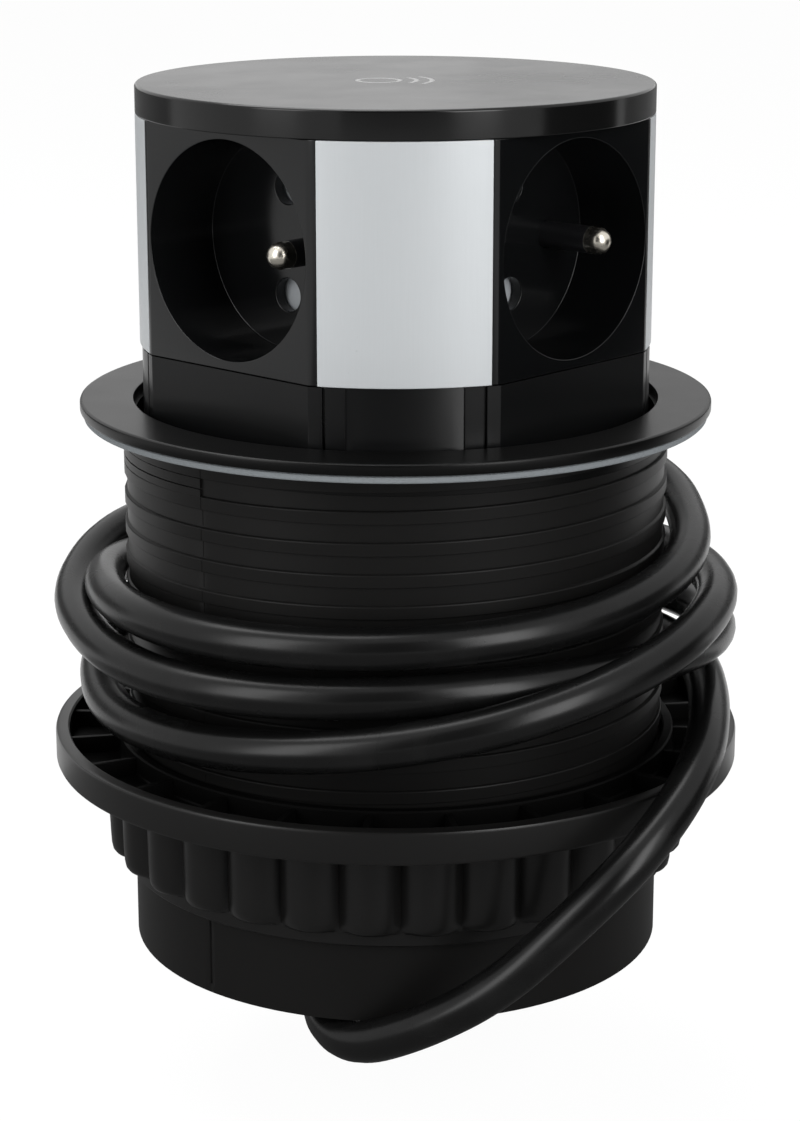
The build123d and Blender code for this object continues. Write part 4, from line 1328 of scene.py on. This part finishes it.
@dataclass
class ClampNut:
    """Hand nut under the worktop: ribbed trough, fluted grip and collar."""

    bore: float = 50.8  # radius of its bore
    hub: float = 52.2  # radius of the hub between the flutes
    rim: float = 64.6  # radius of the rim
    top: float = -59.2  # height of the rim
    under: float = -65.5  # height of the rim's underside
    foot: float = -83.0  # height of the grip's lower end
    low: float = -85.6  # height of the collar's lower end
    lobes: int = 30  # number of lobes
    turn: float = -7.0  # turn of the first lobe in degrees
    ribs: int = 24  # number of ribs in the trough
    lobe: float = 6.0  # radius of a lobe
    floor: float = 2.0  # height of the trough's floor over the rim's underside
    wall: float = 2.6  # thickness of the rim
    reach: float = 55.4  # radius round the lobes
    fine: int = 14  # steps in one lobe

    def plan(self, tip: float) -> List[Tuple[float, float]]:
        """Outline of the fluted grip.

        Args:
            tip: radius that its lobes reach.

        Returns:
            Turn and radius of each corner.
        """
        centre = tip - self.lobe
        steps = self.lobes * self.fine
        plan = []
        for k in range(steps):
            turn = 360.0 * k / steps
            offset = (turn + 180.0 / self.lobes) % (360.0 / self.lobes) - 180.0 / self.lobes
            across = centre * sin(radians(offset))
            inside = self.lobe**2 - across**2
            reach = centre * cos(radians(offset)) + sqrt(inside) if inside > 0 else 0.0
            plan.append((turn + self.turn, max(self.hub, reach)))
        return plan

    def ring(self, radius: float, height: float) -> List[Point]:
        """Round ring with as many corners as the grip's outline."""
        steps = self.lobes * self.fine
        return [around(360.0 * k / steps + self.turn, radius, height) for k in range(steps)]

    def build(self) -> None:
        """Make the nut."""
        bore, hub, rim = self.bore, self.hub, self.rim
        top, under, foot, low = self.top, self.under, self.foot, self.low
        trough, wall = under + self.floor, rim - self.wall
        upper = (
            (bore, top - 0.9), (bore + 0.3, top - 0.6), (hub + 0.3, top - 0.6),
            (hub + 0.6, top - 0.9), (hub + 0.6, trough + 0.3), (hub + 0.9, trough),
            (wall - 0.3, trough), (wall, trough + 0.3), (wall, top - 0.3), (wall + 0.3, top),
            (rim - 0.7, top), (rim - 0.2, top - 0.2), (rim, top - 0.7), (rim, under + 0.8),
            (rim - 0.25, under + 0.25), (rim - 0.8, under),
        )
        flutes = (
            (-0.45, under), (-0.1, under - 0.35), (0.0, under - 1.0), (0.2, foot + 5.0),
            (0.35, foot + 2.2), (0.6, foot + 1.0), (1.1, foot + 0.35), (1.8, foot + 0.05),
            (2.9, foot),
        )
        lower = (
            (hub - 0.4, foot - 0.05), (hub - 0.4, low + 0.3), (hub - 0.65, low), (bore + 0.2, low),
            (bore, low + 0.25),
        )
        sections = [self.ring(*corner) for corner in upper]
        for inward, height in flutes:
            plan = self.plan(self.reach - inward)
            sections.append([around(turn, radius, height) for turn, radius in plan])
        sections += [self.ring(*corner) for corner in lower]
        form = Form().skin(sections, closed=True)
        nut = form.piece("hand_nut", "nut", NUT_PLASTIC, ["clamp_nut"])
        # The faces inside the trough take the darker plastic: painted shade in the trough.
        repaint(
            nut, TROUGH_SHADE_PLASTIC, lambda face: hypot(*face.center.xy) < (wall + 0.1) * MM
            and face.center.z > (trough - 0.5) * MM,
        )
        fins = Form()
        for k in range(self.ribs):
            fins.block(
                (-0.6, -wall - 0.4, trough - 0.4), (0.6, -hub - 0.4, top - 1.2),
                360.0 * k / self.ribs + self.turn,
            )
        fins.ease(width=0.18)
        # The ribs carry the trough's painted shade.
        fins.piece("nut_fins", "nut", TROUGH_SHADE_PLASTIC)


class Housing:
    """Flange, gasket, cap and sleeve."""

    def build(self) -> None:
        """Make the housing's pieces."""
        ThreadedSleeve().build()
        flange = Form().lathe(
            [
                (48.4, 1.3), (49.25, 1.3), (49.25, -4.0), (50.0, -4.0), (50.0, 1.3), (57.7, 1.3),
                (58.1, 1.45), (58.3, 1.8), (58.3, 3.0), (58.2, 3.28), (57.95, 3.45), (57.6, 3.5),
                (48.9, 3.5), (48.55, 3.4), (48.4, 3.1),
            ],
            steps=220,
        )
        flange.piece("flange", "housing", FLANGE_PLASTIC, ["trim_ring"])
        seal = Form().lathe(
            [(50.8, 0.0), (57.35, 0.0), (57.6, 0.25), (57.6, 1.05), (57.35, 1.29), (50.8, 1.29)],
            steps=200,
        )
        seal.piece("foam_gasket", "housing", GASKET_FOAM, ["gasket"], "gasket_grey")
        dress("bottom_cap", HOUSING_PLASTIC)


# Tower


@dataclass
class SocketTower:
    """The tower that slides: lid, side covers, sockets and collar."""

    radius: float = 47.0  # radius of the tower
    top: float = 60.8  # height of the lid
    sockets: int = 4  # number of sockets
    collar: float = 13.5  # height of the collar's upper edge

    def build(self) -> None:
        """Make the tower's pieces."""
        self.lid()
        self.mark()
        for k in range(1, self.sockets + 1):
            self.cover(k)
            self.socket(k)
        Form.of_node("tower_body").ease(
            width=0.22, sharper=40.0,
            where=lambda point: point.z < self.collar and outside(42.0)(point),
        ).piece("collar", "tower", BLACK_PLASTIC, ["tower_body"])
        dress("tower_base_plate", BLACK_PLASTIC)

    def lid(self) -> None:
        """Lid with its grey face and dark rim."""
        form = Form.of_node("top_lid").ease(width=0.16, where=outside(self.radius - 0.8))
        lid = form.piece("lid", "tower", LID_PLASTIC, ["top_lid"], "lid_grey", crease=Crease.CRISP)
        edge = (self.top - 0.3) * MM
        repaint(lid, LID_FACE, lambda face: face.normal.z > 0.9 and face.center.z > edge)

    def mark(self) -> None:
        """Plain sign for the charging spot: a ring and two rising arcs."""
        form = Form()
        height = self.top + 0.01
        rings = ((3.4, 4.3, 0.0, 360.0), (6.4, 7.3, -38.0, 76.0), (9.2, 10.1, -38.0, 76.0))
        for inner, outer, start, span in rings:
            steps = max(8, int(span / 6))
            line = [form.bm.verts.new(around(90.0 + start, r, height)) for r in (inner, outer)]
            edge = form.bm.edges.new(line)
            bmesh.ops.spin(
                form.bm, geom=[*line, edge], cent=(0, 0, 0), axis=(0, 0, 1), angle=radians(span),
                steps=steps, use_merge=span >= 360.0,
            )
        form.move(Matrix.Translation((-3.0, 0.0, 0.0)))
        faces = list(form.bm.faces)
        bmesh.ops.recalc_face_normals(form.bm, faces=faces)
        if faces[0].normal.z < 0:
            bmesh.ops.reverse_faces(form.bm, faces=faces)
        made = form.piece("lid_mark", "tower", LID_MARK, slot="lid_grey", outward=False)
        made.modifiers.new("thickness", "SOLIDIFY").thickness = 0.03 * MM

    def cover(self, number: int) -> None:
        """One silver side cover.

        Args:
            number: its number.
        """
        node = f"side_panel_{number}"
        form = Form.of_node(node).ease(width=0.14)
        form.piece(f"side_cover_{number}", "tower", SIDE_SILVER, [node], "panel_silver")

    def socket(self, number: int) -> None:
        """One socket: its front, its earth pin and its blind.

        Args:
            number: its number.
        """
        node = f"socket_cup_{number}"
        form = Form.of_node(node).ease(width=0.15, where=outside(27.0))
        form.piece(f"socket_front_{number}", "tower", SOCKET_PLASTIC, [node], "gloss_black")
        dress(f"earth_pin_{number}", EARTH_TIP)
        dress(f"shutter_{number}", SHUTTER_PLASTIC)


@dataclass
class BlindSpring:
    """Coil spring beside a blind, which shortens as the blind goes down."""

    number: int  # number of its socket
    wire: float = 0.27  # radius of the wire
    coil: float = 1.01  # radius of the coil's middle line
    turns: int = 10  # number of turns, the first and the last of them closed
    travel: float = 6.65  # way of the blind

    def line(self, foot: float, top: float) -> Iterable[Tuple[float, float]]:
        """Middle line of the wire.

        Args:
            foot: its lowest height.
            top: its highest height.

        Returns:
            Turns so far and height, twelve to a turn.
        """
        closed = 2.1 * self.wire
        for step in range(self.turns * 12 + 1):
            turn = step / 12.0
            share = min(max((turn - 1.0) / (self.turns - 2.0), 0.0), 1.0)
            ends = min(turn, 1.0) + max(turn - self.turns + 1.0, 0.0)
            yield turn, foot + closed * ends + (top - foot - 2 * closed) * share

    def build(self) -> None:
        """Make the spring."""
        node = f"shutter_spring_{self.number}"
        low, high = (Vector(corner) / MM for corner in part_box(node))
        middle = (low + high) / 2
        length, rings = high.z - low.z, []
        for turn, height in self.line(low.z + self.wire, high.z - self.wire):
            east, north, ring = cos(2 * pi * turn), sin(2 * pi * turn), []
            for k in range(6):
                radius = self.coil + self.wire * cos(k * pi / 3)
                x, y = middle.x + radius * east, middle.y + radius * north
                ring.append((x, y, height + self.wire * sin(k * pi / 3)))
            rings.append(ring)
        made = Form().skin(rings).piece(
            f"blind_spring_{self.number}", "tower", ZINC, [node], "steel", crease=Crease.SOFT
        )
        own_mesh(made)


@dataclass
class InnerLead:
    """Lead in the sleeve: a run held by the tower, over slack that folds as the tower goes down."""

    grip: float = -28.0  # height where the base plate takes hold of it
    gap: float = 0.05  # space between the two runs
    travel: float = 57.3  # way of the tower

    def build(self) -> None:
        """Make both runs."""
        Form.of_node("inner_lead").part(self.grip, True).piece(
            "held_lead", "tower", CORD_SHEATH, slot="cord_black", crease=Crease.SOFT
        )
        slack = Form.of_node("inner_lead").part(self.grip - self.gap, False).piece(
            "slack_lead", "housing", CORD_SHEATH, ["inner_lead"], "cord_black", crease=Crease.SOFT
        )
        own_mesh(slack)


def inner_works() -> None:
    """Dress what is hidden inside the tower."""
    finishes: Dict[str, Finish] = {
        "charging_coil": COIL_COPPER, "ferrite_sheet": FERRITE, "charger_board": CHARGER_BOARD,
        "power_supply": SUPPLY_BOARD, "distribution_block": HOUSING_PLASTIC,
        "riser_wires": WIRE_PLASTIC, "cord_clamp": HOUSING_PLASTIC, "clamp_screws": ZINC,
        "tie_screws": ZINC, "plug_earth_strips": NICKEL,
    }
    for k in range(1, 5):
        finishes[f"contact_carrier_{k}"] = HOUSING_PLASTIC
        finishes[f"contact_set_{k}"] = BRASS
        BlindSpring(k).build()
    for node, finish in finishes.items():
        dress(node, finish)
    InnerLead().build()


def main() -> None:
    """Build the scene round the frame."""
    logging.basicConfig(level=logging.INFO, format="%(name)s: %(message)s")
    cad_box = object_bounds()
    Viewpoint().set_up()
    Studio().set_up(cad_box[0].z)
    cord = MainsCord()
    boot = CordBoot(root=(-5.26, 3.9, -95.0), tip=cord.lead[0]).build()
    plug = MainsPlug(end=cord.tail[-1], before=cord.tail[-2]).build()
    cord.build([boot, *plug])
    Housing().build()
    ClampNut().build()
    SocketTower().build()
    inner_works()


if __name__ == "__main__":
    main()
